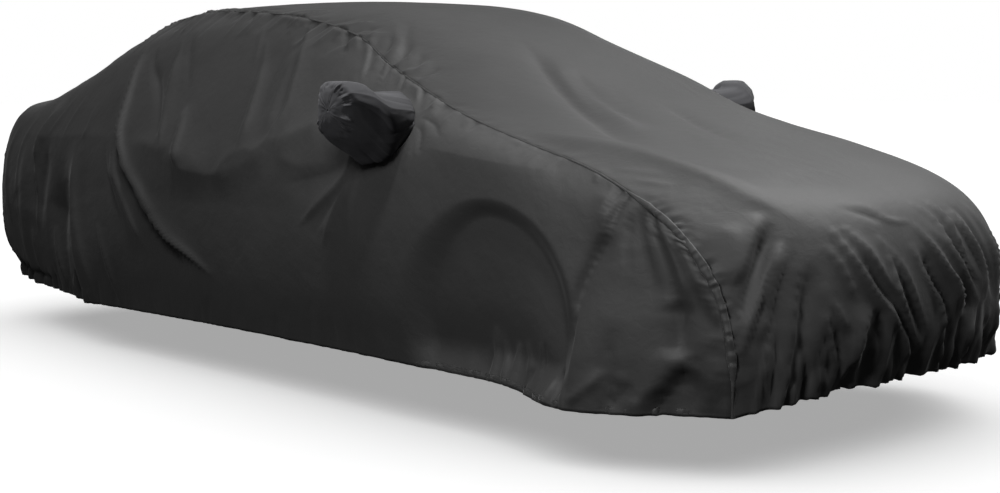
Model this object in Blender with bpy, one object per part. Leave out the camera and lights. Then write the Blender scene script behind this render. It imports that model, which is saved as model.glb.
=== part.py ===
"""A fitted car cover, hanging in the shape that it has in use.

Five sewn pieces: a top panel that runs from the front hem over the roof to the rear hem,
a panel for each side, and a mirror pocket on each side panel. Lengths are in metres.
X runs forwards, Y to the left and Z up. The tables give heights above the floor; the
finished part has its origin under the middle of the roof, at the cloth's inner face.
"""

import bpy
import numpy as np

CLOTH_THICKNESS = 0.002
HEM_THICKNESS = 0.003

# The slit that each seam leaves between two panels, and the one round a mirror pocket's foot.
SEAM_GAP = 0.0006
POCKET_GAP = 0.0016

# Folds die out over this distance from the seams. TOP_HALF_WIDTH is the top panel's usual half width.
FOLD_CALM = 0.07
TOP_HALF_WIDTH = 0.7

# The top panel, a row for each station from the rear hem over the roof to the front hem.
# centre_x, centre_z: its middle line. right_x to left_z: its two edges, where the side panels are sewn on.
# bow, crown: how late between the middle and an edge the station turns back, and down.
TOP_COLUMNS = (
    "centre_x", "centre_z", "right_x", "right_y", "right_z", "left_x", "left_y", "left_z", "bow", "crown",
)
TOP = {
    "rear_hem": (-2.46, 0.27, -2.37, 0.69, 0.23, -2.37, 0.69, 0.23, 3.0, 2.0),
    "rear_low": (-2.55, 0.40, -2.46, 0.735, 0.365, -2.46, 0.735, 0.365, 3.0, 2.0),
    "rear_bumper": (-2.57, 0.55, -2.48, 0.745, 0.52, -2.48, 0.745, 0.52, 3.0, 2.0),
    "rear_plate": (-2.57, 0.72, -2.48, 0.74, 0.68, -2.48, 0.74, 0.68, 3.0, 2.0),
    "tail": (-2.54, 0.88, -2.45, 0.725, 0.83, -2.45, 0.725, 0.83, 2.8, 2.2),
    "deck_edge": (-2.46, 1.03, -2.37, 0.68, 0.975, -2.37, 0.68, 0.975, 2.6, 2.4),
    "deck_rear": (-2.31, 1.08, -2.23, 0.61, 1.035, -2.23, 0.61, 1.035, 2.4, 2.6),
    "deck": (-2.08, 1.145, -1.99, 0.57, 1.095, -1.99, 0.57, 1.095, 2.2, 3.0),
    "deck_front": (-1.75, 1.26, -1.65, 0.55, 1.22, -1.65, 0.55, 1.22, 2.0, 3.0),
    "rear_glass": (-1.36, 1.39, -1.28, 0.54, 1.36, -1.28, 0.54, 1.36, 2.0, 3.2),
    "rear_glass_top": (-0.95, 1.445, -0.90, 0.55, 1.42, -0.90, 0.55, 1.42, 2.0, 3.4),
    "roof_rear": (-0.50, 1.46, -0.48, 0.585, 1.415, -0.48, 0.585, 1.41, 2.0, 3.6),
    "roof": (0.00, 1.450, -0.05, 0.60, 1.375, -0.08, 0.60, 1.36, 2.0, 3.6),
    "roof_front": (0.36, 1.405, 0.26, 0.60, 1.305, 0.26, 0.59, 1.275, 2.0, 3.6),
    "screen_top": (0.66, 1.31, 0.48, 0.63, 1.205, 0.48, 0.62, 1.195, 2.0, 3.4),
    "screen": (0.94, 1.195, 0.76, 0.70, 1.12, 0.75, 0.70, 1.12, 2.0, 3.2),
    "screen_foot": (1.22, 1.085, 1.06, 0.75, 1.03, 1.03, 0.735, 1.00, 2.0, 3.0),
    "hood_rear": (1.50, 1.01, 1.38, 0.77, 0.95, 1.34, 0.74, 0.89, 2.0, 3.4),
    "hood": (1.80, 0.942, 1.68, 0.78, 0.88, 1.64, 0.75, 0.80, 2.2, 4.0),
    "hood_front": (2.07, 0.864, 1.90, 0.775, 0.79, 1.88, 0.75, 0.745, 2.4, 4.0),
    "hood_lip": (2.24, 0.785, 2.03, 0.765, 0.71, 2.02, 0.75, 0.665, 2.6, 3.0),
    "nose": (2.32, 0.67, 2.12, 0.75, 0.615, 2.10, 0.74, 0.57, 2.6, 2.2),
    "grille": (2.345, 0.52, 2.18, 0.735, 0.50, 2.13, 0.72, 0.47, 2.6, 2.0),
    "front_bumper": (2.335, 0.37, 2.215, 0.73, 0.35, 2.14, 0.71, 0.33, 2.6, 2.0),
    "front_hem": (2.29, 0.235, 2.21, 0.72, 0.185, 2.12, 0.69, 0.22, 2.6, 2.0),
}
STATIONS = list(TOP)
ROOF_HEIGHT = TOP["roof"][1]
REAR_CORNER = STATIONS.index("deck_edge")
FRONT_CORNER = STATIONS.index("hood_front")
LAST_STATION = len(STATIONS) - 1

# A side panel below its seam, a row for each station between its two upright seams.
# rail, belt, door, sill and hem are the levels that it passes on its way down.
SIDE_COLUMNS = (
    "rail_y", "rail_z", "belt_y", "belt_z", "door_y", "door_z", "sill_y", "sill_z",
    "hem_x", "hem_y", "hem_z",
)
SIDE_LEVEL_NAMES = ("rail", "belt", "door", "sill", "hem")
SIDE = {
    "deck_rear": (0.75, 0.985, 0.82, 0.86, 0.85, 0.65, 0.83, 0.42, -2.22, 0.765, 0.22),
    "deck": (0.755, 1.02, 0.845, 0.88, 0.885, 0.66, 0.875, 0.43, -1.98, 0.825, 0.21),
    "deck_front": (0.73, 1.12, 0.865, 0.90, 0.90, 0.66, 0.90, 0.42, -1.66, 0.87, 0.20),
    "rear_glass": (0.70, 1.24, 0.875, 0.91, 0.92, 0.67, 0.93, 0.42, -1.32, 0.90, 0.185),
    "rear_glass_top": (0.69, 1.28, 0.88, 0.905, 0.925, 0.67, 0.93, 0.42, -0.96, 0.90, 0.19),
    "roof_rear": (0.69, 1.28, 0.89, 0.885, 0.925, 0.66, 0.93, 0.42, -0.55, 0.90, 0.195),
    "roof": (0.70, 1.23, 0.885, 0.885, 0.925, 0.66, 0.93, 0.42, -0.10, 0.90, 0.20),
    "roof_front": (0.71, 1.17, 0.875, 0.905, 0.925, 0.66, 0.93, 0.42, 0.26, 0.90, 0.20),
    "screen_top": (0.74, 1.10, 0.86, 0.93, 0.92, 0.66, 0.93, 0.42, 0.52, 0.90, 0.20),
    "screen": (0.79, 1.03, 0.87, 0.90, 0.92, 0.66, 0.93, 0.42, 0.82, 0.90, 0.20),
    "screen_foot": (0.83, 0.96, 0.88, 0.85, 0.92, 0.65, 0.93, 0.42, 1.10, 0.90, 0.195),
    "hood_rear": (0.85, 0.89, 0.89, 0.79, 0.92, 0.62, 0.93, 0.41, 1.42, 0.90, 0.19),
    "hood": (0.83, 0.81, 0.86, 0.72, 0.895, 0.56, 0.93, 0.38, 1.76, 0.945, 0.17),
}
SIDE_LEVELS = 5

# Strips between neighbouring levels of a side panel, from its seam down to its hem. The top panel
# has the same strips below its two rear corners and below its two front ones.
LEVEL_STRIPS = (3, 3, 3, 3, 2)

# Strips between neighbouring stations from the rear corners to the front ones.
STATION_STRIPS = (2, 3, 4, 4, 5, 4, 4, 3, 3, 4, 4, 3, 4, 4)

# Columns across the top panel, from each of these stations on.
TOP_COLUMN_COUNTS = {"rear_hem": 22, "deck": 18, "rear_glass": 16, "roof_front": 26, "hood_front": 40}

# Soft folds, a row each: raised ones have a lift above 0 and troughs one below 0. Each runs from a
# place to another and its middle bends sideways. On a side panel a place is X and the height.
FOLD_COLUMNS = ("from_along", "from_aside", "to_along", "to_aside", "bend", "width", "lift")
RIGHT_FOLDS = (
    (-1.12, 1.26, -0.97, 0.80, -0.03, 0.055, 0.034),
    (-1.00, 0.96, -0.29, 0.41, -0.05, 0.052, 0.038),
    (-0.93, 0.82, -0.33, 0.38, -0.06, 0.060, -0.020),
    (-1.07, 0.82, -0.76, 0.47, -0.01, 0.040, 0.022),
    (-1.01, 1.25, -0.73, 0.84, 0.00, 0.055, -0.018),
    (-0.83, 1.25, -0.68, 0.84, 0.02, 0.040, 0.012),
    (-0.60, 1.06, -0.51, 0.78, 0.00, 0.035, 0.010),
    (-0.18, 1.22, -0.10, 0.88, 0.00, 0.040, 0.009),
    (0.00, 1.30, 0.06, 0.92, -0.03, 0.045, 0.012),
    (-1.72, 1.06, -1.84, 0.76, 0.01, 0.040, 0.014),
    (-1.68, 0.84, -1.77, 0.50, 0.00, 0.045, -0.018),
    (-1.36, 0.90, -1.28, 0.12, -0.04, 0.050, 0.018),
    (-1.52, 0.74, -1.50, 0.12, -0.03, 0.055, -0.016),
    (-1.95, 0.92, -1.98, 0.12, 0.02, 0.055, 0.014),
    (-0.97, 0.89, -0.25, 0.78, 0.02, 0.060, 0.010),
    (-0.27, 0.78, 0.13, 0.91, -0.02, 0.060, 0.010),
    (0.12, 0.91, 0.36, 1.00, 0.00, 0.045, 0.010),
    (0.66, 0.86, 0.36, 0.66, 0.00, 0.040, 0.014),
    (0.64, 0.80, 0.48, 0.58, 0.00, 0.038, 0.012),
    (0.62, 0.88, 0.26, 0.75, 0.02, 0.050, -0.010),
    (1.83, 0.78, 1.73, 0.30, -0.02, 0.060, -0.020),
    (1.88, 0.80, 2.05, 0.46, -0.01, 0.040, -0.022),
    (1.95, 0.78, 2.10, 0.50, 0.00, 0.035, 0.014),
    (2.05, 0.52, 2.06, 0.34, 0.00, 0.035, -0.022),
    (2.07, 0.42, 1.94, 0.17, 0.00, 0.042, 0.030),
    (2.12, 0.32, 2.02, 0.12, 0.00, 0.045, -0.020),
    (1.78, 0.84, 1.82, 0.66, 0.00, 0.030, 0.010),
)
LEFT_FOLDS = (
    (-1.20, 1.24, -1.02, 0.82, -0.02, 0.055, 0.022),
    (-1.05, 0.86, -0.42, 0.44, -0.04, 0.050, 0.022),
    (-0.90, 1.22, -0.72, 0.86, 0.01, 0.045, -0.012),
    (-1.66, 1.02, -1.78, 0.54, 0.01, 0.045, 0.014),
    (-1.44, 0.80, -1.40, 0.12, -0.02, 0.055, 0.016),
    (-1.90, 0.88, -1.94, 0.12, 0.02, 0.055, -0.014),
    (-0.80, 0.84, 0.05, 0.84, 0.03, 0.060, 0.010),
    (-0.10, 1.20, 0.00, 0.90, 0.00, 0.045, 0.010),
    (0.64, 0.86, 0.40, 0.60, 0.00, 0.040, 0.012),
    (1.78, 0.76, 1.70, 0.28, -0.02, 0.060, -0.018),
    (1.90, 0.74, 1.98, 0.30, 0.00, 0.045, 0.016),
    (2.02, 0.60, 1.88, 0.14, 0.00, 0.045, -0.018),
)

# On the top panel a place is a station number, counted from 0 at the rear hem, and Y.
TOP_FOLDS = (
    (19.9, -0.61, 21.6, -0.68, 0.00, 0.035, -0.016),
    (19.9, -0.55, 21.6, -0.67, 0.00, 0.030, 0.018),
    (20.7, -0.54, 22.5, -0.65, 0.00, 0.034, 0.018),
    (21.0, -0.49, 24.4, -0.53, 0.00, 0.040, 0.018),
    (20.3, -0.41, 23.0, -0.30, 0.00, 0.036, 0.018),
    (20.5, -0.33, 23.4, -0.18, 0.00, 0.036, -0.014),
    (21.8, -0.22, 24.3, -0.02, 0.00, 0.036, 0.018),
    (20.6, -0.05, 23.2, 0.28, 0.01, 0.034, 0.020),
    (20.7, 0.00, 22.3, 0.32, 0.00, 0.030, 0.014),
    (21.2, -0.06, 23.0, 0.16, 0.01, 0.034, -0.016),
    (20.2, 0.05, 22.8, 0.56, 0.02, 0.040, 0.020),
    (20.2, 0.23, 21.4, 0.24, 0.00, 0.030, 0.012),
    (22.0, 0.22, 24.4, 0.36, -0.01, 0.046, -0.018),
    (22.4, 0.42, 24.4, 0.54, 0.00, 0.036, 0.015),
    (22.2, -0.34, 24.4, -0.28, 0.00, 0.034, -0.014),
    (22.6, 0.06, 24.4, 0.20, 0.00, 0.034, 0.016),
    (16.8, -0.72, 20.3, -0.46, -0.02, 0.060, 0.012),
    (14.3, -0.20, 18.0, -0.60, 0.02, 0.055, -0.016),
    (14.5, -0.12, 17.4, -0.46, 0.02, 0.040, 0.012),
    (14.9, -0.16, 17.3, -0.36, 0.00, 0.040, -0.013),
    (16.0, -0.04, 18.0, -0.20, 0.01, 0.034, -0.011),
    (15.6, 0.28, 17.6, 0.12, 0.00, 0.050, 0.008),
    (5.2, -0.36, 0.0, -0.28, 0.00, 0.050, 0.016),
    (4.6, -0.12, -0.4, -0.04, 0.00, 0.055, -0.014),
    (5.4, 0.22, -0.4, 0.34, 0.02, 0.050, 0.016),
    (4.2, 0.50, -0.4, 0.52, 0.00, 0.045, 0.014),
    (4.8, -0.56, -0.4, -0.50, 0.00, 0.045, -0.014),
    (9.4, -0.22, 6.8, -0.40, 0.00, 0.060, 0.010),
    (9.2, 0.18, 6.6, 0.34, 0.00, 0.060, 0.010),
)

# The round hollow low on the front of each side panel: its middle, how far from it the cloth starts to
# sink and is down, the height where it has faded out, how much softer its rear edge is, its depth and
# how much deeper it gets downwards.
HOLLOW_X, HOLLOW_Z = 1.33, 0.35
HOLLOW_LIP, HOLLOW_FLOOR, HOLLOW_FOOT = 0.43, 0.37, 0.15
HOLLOW_SOFTNESS, HOLLOW_DEPTH, HOLLOW_LEAN = 0.14, 0.034, 0.05

# The hole for a mirror pocket: its middle and half its size as a station and a share of the way down,
# the block of cells that is left out for it, and half its length and height.
HOLE_CENTRE = (14.85, 0.27)
HOLE_HALF = (0.49, 0.155)
HOLE_BLOCK = ((14.25, 15.25), (2 / 15, 0.4))
HOLE_LONG, HOLE_TALL = 0.14, 0.105

# A mirror pocket, a row for each ring outwards from the hole: its distance from the cover's middle
# plane, its middle and half its length and height.
POCKET_COLUMNS = ("out_y", "centre_x", "centre_z", "half_x", "half_z")
POCKET = {
    "elbow": (0.905, 0.738, 0.975, 0.140, 0.136),
    "housing": (0.945, 0.715, 1.010, 0.128, 0.126),
    "outer": (0.990, 0.688, 1.032, 0.104, 0.106),
    "tip": (1.020, 0.672, 1.040, 0.070, 0.075),
    "end": (1.034, 0.667, 1.043, 0.030, 0.036),
}

# The sack's straight foot, the depth of its pleats, and how square its rings are, from 1 for an ellipse
# down to 0 for a box.
POCKET_COLLAR = 0.012
POCKET_PLEAT = 0.006
POCKET_SQUARE = 0.8


def spline_weights(place, count):
    """How much each of count control points adds at places, where the first point is at place 0.

    The weights of a Catmull-Rom curve, which runs straight out at its two ends."""
    place = np.clip(place, 0, count - 1)
    first = np.minimum(place.astype(int), count - 2)
    t = place - first
    shares = [
        (-t + 2 * t**2 - t**3) / 2,
        (2 - 5 * t**2 + 3 * t**3) / 2,
        (t + 4 * t**2 - 3 * t**3) / 2,
        (-(t**2) + t**3) / 2,
    ]
    weights = np.zeros(place.shape + (count + 2,))
    for k, share in enumerate(shares):
        np.put_along_axis(weights, (first + k)[..., None], share[..., None], axis=-1)
    weights[..., 1] += 2 * weights[..., 0]
    weights[..., 2] -= weights[..., 0]
    weights[..., -2] += 2 * weights[..., -1]
    weights[..., -3] -= weights[..., -1]
    return weights[..., 1:-1]


def top_point(station, across):
    """The top panel's point at a station number, across from -1 at the right seam to 1 at the left one."""
    rows = np.array(list(TOP.values()))
    values = spline_weights(station, len(rows)) @ rows
    value = dict(zip(TOP_COLUMNS, np.moveaxis(values, -1, 0)))
    out = np.abs(across)
    edge = [np.where(across < 0, value["right_" + k], value["left_" + k]) for k in "xyz"]
    x = value["centre_x"] + (edge[0] - value["centre_x"]) * out ** value["bow"]
    z = value["centre_z"] + (edge[2] - value["centre_z"]) * out ** value["crown"]
    return np.stack([x, edge[1] * across, z], axis=-1)


def seam_point(station, side):
    """The seam's point at a station number, on the side -1 for the right one or 1 for the left one."""
    return top_point(station, np.full_like(station, side))


def rear_seam(down, side):
    """The upright rear seam's point, down from 0 at the corner to 1 at the hem."""
    return seam_point(REAR_CORNER * (1 - down), side)


def front_seam(down, side):
    """The upright front seam's point, down from 0 at the corner to 1 at the hem."""
    return seam_point(FRONT_CORNER + (LAST_STATION - FRONT_CORNER) * down, side)


def side_net(side):
    """A side panel's control points, as stations by levels by X, Y and Z."""
    levels = np.arange(SIDE_LEVELS + 1) / SIDE_LEVELS
    columns = [rear_seam(levels, side)]
    for name, row in SIDE.items():
        value = dict(zip(SIDE_COLUMNS, row))
        x, y, z = seam_point(np.array(float(STATIONS.index(name))), side)
        column = [(x, y, z)]
        for level in SIDE_LEVEL_NAMES:
            level_z = value[level + "_z"]
            share = (z - level_z) / (z - value["hem_z"])
            column.append((x + (value["hem_x"] - x) * share, side * value[level + "_y"], level_z))
        columns.append(np.array(column))
    columns.append(front_seam(levels, side))
    return np.array(columns)


def side_point(station, down, side):
    """A side panel's point at a station number, down from 0 at the seam to 1 at the hem.

    The smooth sheet through the control points is drawn to the seams, and the pull fades inwards."""
    net = side_net(side)

    def sheet(at, depth):
        along = spline_weights(at - REAR_CORNER, net.shape[0])
        downwards = spline_weights(depth * SIDE_LEVELS, net.shape[1])
        return np.einsum("...i,...j,ijk->...k", along, downwards, net)

    rear = np.full_like(station, REAR_CORNER)
    front = np.full_like(station, FRONT_CORNER)
    top = np.zeros_like(down)
    near_rear = np.clip(1 - (station - REAR_CORNER) / 2, 0, 1)[..., None] ** 2
    near_front = np.clip(1 - (FRONT_CORNER - station) / 2, 0, 1)[..., None] ** 2
    near_top = np.clip(1 - down * SIDE_LEVELS, 0, 1)[..., None] ** 2
    near_top = near_top * (1 - near_rear) * (1 - near_front)
    point = sheet(station, down)
    point += (rear_seam(down, side) - sheet(rear, down)) * near_rear
    point += (front_seam(down, side) - sheet(front, down)) * near_front
    point += (seam_point(station, side) - sheet(station, top)) * near_top
    return point


def ramp(value):
    """0 up to 0, 1 from 1 on and an even curve between."""
    value = np.clip(value, 0, 1)
    return value * value * (3 - 2 * value)


def fold_height(folds, along, aside):
    """The sum of the folds' heights where a panel that is laid out flat is at along and aside."""
    height = np.zeros_like(along)
    for row in folds:
        fold = dict(zip(FOLD_COLUMNS, row))
        run, rise = fold["to_along"] - fold["from_along"], fold["to_aside"] - fold["from_aside"]
        length = np.hypot(run, rise)
        ahead = ((along - fold["from_along"]) * run + (aside - fold["from_aside"]) * rise) / length**2
        off = ((aside - fold["from_aside"]) * run - (along - fold["from_along"]) * rise) / length
        off = off - 4 * fold["bend"] * ahead * (1 - ahead)
        ends = ramp(ahead / 0.25) * ramp((1 - ahead) / 0.25)
        height += fold["lift"] * ends * np.exp(-((off / fold["width"]) ** 2))
    return height


def run_at(station):
    """How far along the top panel's middle line a station is, and straight on past both hems."""
    middle = np.array(list(TOP.values()))[:, :2]
    steps = np.hypot(*np.diff(middle, axis=0).T)
    runs = np.concatenate([[0], np.cumsum(steps)])
    spare = np.minimum(station, 0) + np.maximum(station - LAST_STATION, 0)
    return np.interp(station, np.arange(LAST_STATION + 1), runs) + steps[-1] * spare


def top_folds():
    """The top panel's folds, with their station numbers turned into runs."""
    folds = np.array(TOP_FOLDS)
    folds[:, 0] = run_at(folds[:, 0])
    folds[:, 2] = run_at(folds[:, 2])
    return folds


def outward(surface, first, second, flip):
    """The unit normals of a surface of two parameters, turned round where flip is -1."""
    step = 1e-4
    along = surface(first + step, second) - surface(first - step, second)
    across = surface(first, second + step) - surface(first, second - step)
    normal = flip * np.cross(along, across)
    return normal / np.linalg.norm(normal, axis=-1, keepdims=True)


def strips(counts):
    """The numbers 0, 1, 2 and so on, with each step between them cut into its count of equal strips."""
    steps = [number + np.arange(1, count + 1) / count for number, count in enumerate(counts)]
    return np.concatenate([[0.0], *steps])


LEVELS = strips(LEVEL_STRIPS)
SHARED_ROWS = REAR_CORNER + strips(STATION_STRIPS)
TOP_STATIONS = np.concatenate([REAR_CORNER - LEVELS[:0:-1], SHARED_ROWS, FRONT_CORNER + LEVELS[1:]])


def drawn_in(points, neighbours, stations, side):
    """Seam points moved half the seam's gap towards their neighbours in the panel, square to the seam."""
    step = 1e-3
    along = seam_point(stations + step, side) - seam_point(stations - step, side)
    along /= np.linalg.norm(along, axis=-1, keepdims=True)
    inward = neighbours - points
    inward -= along * np.sum(inward * along, axis=-1, keepdims=True)
    inward /= np.linalg.norm(inward, axis=-1, keepdims=True)
    return points + inward * SEAM_GAP / 2


def top_rows():
    """The top panel's rows of points, each with its places across."""
    rows = []
    for station in TOP_STATIONS:
        begun = [name for name in TOP_COLUMN_COUNTS if STATIONS.index(name) <= station]
        across = np.linspace(-1, 1, TOP_COLUMN_COUNTS[begun[-1]] + 1)
        stations = np.full_like(across, station)
        points = top_point(stations, across)
        normals = outward(top_point, stations, across, 1)
        folds = fold_height(top_folds(), run_at(stations), points[:, 1])
        calm = ramp((1 - np.abs(across)) * TOP_HALF_WIDTH / FOLD_CALM)
        points += normals * (folds * calm)[:, None]
        rows.append((across, points))
    for side, end, beside in ((-1, 0, 1), (1, -1, -2)):
        ends = np.array([points[end] for across, points in rows])
        inner = np.array([points[beside] for across, points in rows])
        for (across, points), moved in zip(rows, drawn_in(ends, inner, TOP_STATIONS, side)):
            points[end] = moved
    return rows


def joined(first, second, first_start, second_start):
    """The faces between two rows, given their places across and the numbers of their first points."""
    if len(first) == len(second):
        return [
            (first_start + k, second_start + k, second_start + k + 1, first_start + k + 1)
            for k in range(len(first) - 1)
        ]
    faces = []
    a = b = 0
    while a < len(first) - 1 or b < len(second) - 1:
        second_next = b < len(second) - 1 and (a == len(first) - 1 or second[b + 1] <= first[a + 1])
        if second_next:
            faces.append((first_start + a, second_start + b, second_start + b + 1))
            b += 1
        else:
            faces.append((first_start + a, second_start + b, first_start + a + 1))
            a += 1
    return faces


def top_panel(material):
    """The top panel, as rows from the rear hem to the front one."""
    rows = top_rows()
    starts = np.concatenate([[0], np.cumsum([len(across) for across, points in rows])])
    faces = []
    for number in range(len(rows) - 1):
        faces += joined(rows[number][0], rows[number + 1][0], int(starts[number]), int(starts[number + 1]))
    points = np.concatenate([points for across, points in rows])
    faces = [face[::-1] for face in faces]
    hem = [*range(len(rows[0][0])), *range(int(starts[-2]), int(starts[-1]))]
    return cloth("top_panel", points, faces, hem, material)


def round_the_hole(station, down):
    """Panel places drawn round the pocket's hole: its square block of cells becomes a ring."""
    (first, last), (top, foot) = HOLE_BLOCK
    a = (station - (first + last) / 2) / ((last - first) / 2)
    b = (down - (top + foot) / 2) / ((foot - top) / 2)
    reach = np.maximum(np.abs(a), np.abs(b))
    away = np.maximum(np.hypot(a, b), 1e-9)
    pull = np.clip(2 - reach, 0, 1)
    ring_station = HOLE_CENTRE[0] + HOLE_HALF[0] * reach * a / away
    ring_down = HOLE_CENTRE[1] + HOLE_HALF[1] * reach * b / away
    return station + (ring_station - station) * pull, down + (ring_down - down) * pull


def side_sheet(side):
    """A side panel's grid of points and of normals, with its folds, round hollow and hole ring."""
    station, down = np.meshgrid(SHARED_ROWS, LEVELS / SIDE_LEVELS, indexing="ij")
    station, down = round_the_hole(station, down)

    def surface(at, level):
        return side_point(at, level, side)

    points = surface(station, down)
    normals = outward(surface, station, down, side)
    x, z = points[..., 0], points[..., 2]
    seam_z = seam_point(station, side)[..., 2]
    rear_x = rear_seam(down, side)[..., 0]
    front_x = front_seam(down, side)[..., 0]
    from_seam = np.minimum(np.minimum(seam_z - z, x - rear_x), front_x - x)
    folds = fold_height(RIGHT_FOLDS if side < 0 else LEFT_FOLDS, x, z)
    lip = HOLLOW_LIP - HOLLOW_FLOOR + HOLLOW_SOFTNESS * ramp((HOLLOW_X - x) / HOLLOW_LIP)
    sunk = ramp((HOLLOW_LIP - np.hypot(x - HOLLOW_X, z - HOLLOW_Z)) / lip)
    sunk = sunk * ramp((z - HOLLOW_FOOT) / HOLLOW_FOOT)
    sunk = sunk * (HOLLOW_DEPTH + HOLLOW_LEAN * (HOLLOW_Z + HOLLOW_LIP - z))
    height = folds * ramp(from_seam / FOLD_CALM) - sunk
    points += normals * height[..., None]

    normals = side * np.cross(np.gradient(points, axis=0), np.gradient(points, axis=1))
    normals /= np.linalg.norm(normals, axis=-1, keepdims=True)
    beside = np.maximum(np.arange(len(LEVELS)), 1)
    top = drawn_in(points[1:-1, 0], points[1:-1, 1], SHARED_ROWS[1:-1], side)
    rear = drawn_in(points[0], points[1, beside], REAR_CORNER - LEVELS, side)
    front = drawn_in(points[-1], points[-2, beside], FRONT_CORNER + LEVELS, side)
    points[1:-1, 0] = top
    points[0] = rear
    points[-1] = front
    return points, normals


def hole_walk():
    """The grid places round the hole's block of cells, each once, in order."""
    (first, last), (top, foot) = HOLE_BLOCK
    i = [int(np.argmin(np.abs(SHARED_ROWS - value))) for value in (first, last)]
    j = [int(np.argmin(np.abs(LEVELS / SIDE_LEVELS - value))) for value in (top, foot)]
    walk = [(k, j[0]) for k in range(i[0], i[1])]
    walk += [(i[1], k) for k in range(j[0], j[1])]
    walk += [(k, j[1]) for k in range(i[1], i[0], -1)]
    walk += [(i[0], k) for k in range(j[1], j[0], -1)]
    return walk, i, j


def side_panel(name, side, sheet, material):
    """A side panel, with the hole for its mirror pocket left out of the grid."""
    points, normals = sheet
    walk, hole_i, hole_j = hole_walk()
    columns, levels = points.shape[:2]
    faces = []
    for i in range(columns - 1):
        for j in range(levels - 1):
            if hole_i[0] <= i < hole_i[1] and hole_j[0] <= j < hole_j[1]:
                continue
            face = [(i, j), (i + 1, j), (i + 1, j + 1), (i, j + 1)]
            faces.append(face if side > 0 else face[::-1])
    used = sorted({place for face in faces for place in face})
    number = {place: k for k, place in enumerate(used)}
    hem = [number[i, levels - 1] for i in range(columns)]
    kept = np.array([points[place] for place in used])
    return cloth(name, kept, [tuple(number[place] for place in face) for face in faces], hem, material)


def mirror_pocket(name, side, sheet, material):
    """A sack that starts inside the hole's ring, widens outwards and closes at its outer end."""
    points, normals = sheet
    walk = hole_walk()[0]
    ring = np.array([points[place] for place in walk])
    square = np.array([normals[place] for place in walk])
    along = np.roll(ring, -1, axis=0) - np.roll(ring, 1, axis=0)
    along /= np.linalg.norm(along, axis=1, keepdims=True)
    inward = ring.mean(axis=0) - ring
    inward -= along * np.sum(inward * along, axis=1, keepdims=True)
    inward -= square * np.sum(inward * square, axis=1, keepdims=True)
    inward /= np.linalg.norm(inward, axis=1, keepdims=True)
    base = ring + inward * (POCKET_GAP + CLOTH_THICKNESS)
    collar = base + square * POCKET_COLLAR

    centre = ring.mean(axis=0)
    turn = np.arctan2((ring - centre)[:, 2] / HOLE_TALL, (ring - centre)[:, 0] / HOLE_LONG)
    rings = [base, collar]
    for number, row in enumerate(POCKET.values()):
        value = dict(zip(POCKET_COLUMNS, row))
        pleat = POCKET_PLEAT * np.sin(5 * turn + 0.9 * number)
        wide = np.sign(np.cos(turn)) * np.abs(np.cos(turn)) ** POCKET_SQUARE
        tall = np.sign(np.sin(turn)) * np.abs(np.sin(turn)) ** POCKET_SQUARE
        x = value["centre_x"] + (value["half_x"] + pleat) * wide
        z = value["centre_z"] + (value["half_z"] + pleat) * tall
        rings.append(np.stack([x, np.full_like(x, side * value["out_y"]), z], axis=1))
    rings.insert(2, collar * 0.45 + rings[2] * 0.55)
    last = POCKET["end"]
    tip = np.array([[last[1], side * (last[0] + 0.004), last[2]]])

    count = len(walk)
    faces = []
    for number in range(len(rings) - 1):
        for k in range(count):
            a, b = number * count + k, number * count + (k + 1) % count
            faces.append((a, b, b + count, a + count))
    end = (len(rings) - 1) * count
    faces += [(end + k, end + (k + 1) % count, end + count) for k in range(count)]
    if side < 0:
        faces = [face[::-1] for face in faces]
    return cloth(name, np.concatenate([*rings, tip]), faces, [], material)


def cloth(name, points, faces, hem, material):
    """A sheet through the points, made solid on its outer side and thicker along its hem.

    Its cells are cut into triangles first, so that its two faces bend along the same lines."""
    mesh = bpy.data.meshes.new(name)
    mesh.from_pydata((points - [0, 0, ROOF_HEIGHT]).tolist(), [], faces)
    mesh.materials.append(material)
    mesh.shade_smooth()
    piece = bpy.data.objects.new(name, mesh)
    bpy.context.collection.objects.link(piece)
    piece.vertex_groups.new(name="hem").add(hem, 1.0, "REPLACE")
    piece.modifiers.new("facets", "TRIANGULATE")
    solid = piece.modifiers.new("cloth", "SOLIDIFY")
    solid.thickness = HEM_THICKNESS
    solid.offset = 1
    solid.vertex_group = "hem"
    solid.thickness_vertex_group = CLOTH_THICKNESS / HEM_THICKNESS
    return piece


def fabric(name, colour):
    """A matt woven cloth."""
    material = bpy.data.materials.new(name)
    material.use_nodes = True
    shader = material.node_tree.nodes["Principled BSDF"]
    shader.inputs["Base Color"].default_value = (*colour, 1)
    shader.inputs["Roughness"].default_value = 0.6
    shader.inputs["Metallic"].default_value = 0.0
    material.diffuse_color = (*colour, 1)
    return material


def main():
    for old in list(bpy.data.objects):
        bpy.data.objects.remove(old)
    top_panel(fabric("top_cloth", (0.046, 0.046, 0.048)))
    for name, side in (("right", -1), ("left", 1)):
        sheet = side_sheet(side)
        side_panel("side_panel_" + name, side, sheet, fabric(name + "_cloth", (0.042, 0.042, 0.044)))
        mirror_pocket("mirror_pocket_" + name, side, sheet, fabric(name + "_pocket", (0.038, 0.038, 0.04)))


main()
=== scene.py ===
"""A fitted car cover in charcoal woven polyester, hanging in the shape that it has in use.

The cover is five sewn sheets: a top panel from the front hem over the roof to the rear hem, a panel
for each side and a mirror pocket on each side panel. Felled seams join them and an elastic hem runs
round the foot. Lengths are in metres, X runs forwards, Y to the left and Z up. Tables give heights
above the floor, and the finished pieces have their origin under the middle of the roof.
"""

import functools
import math

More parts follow.
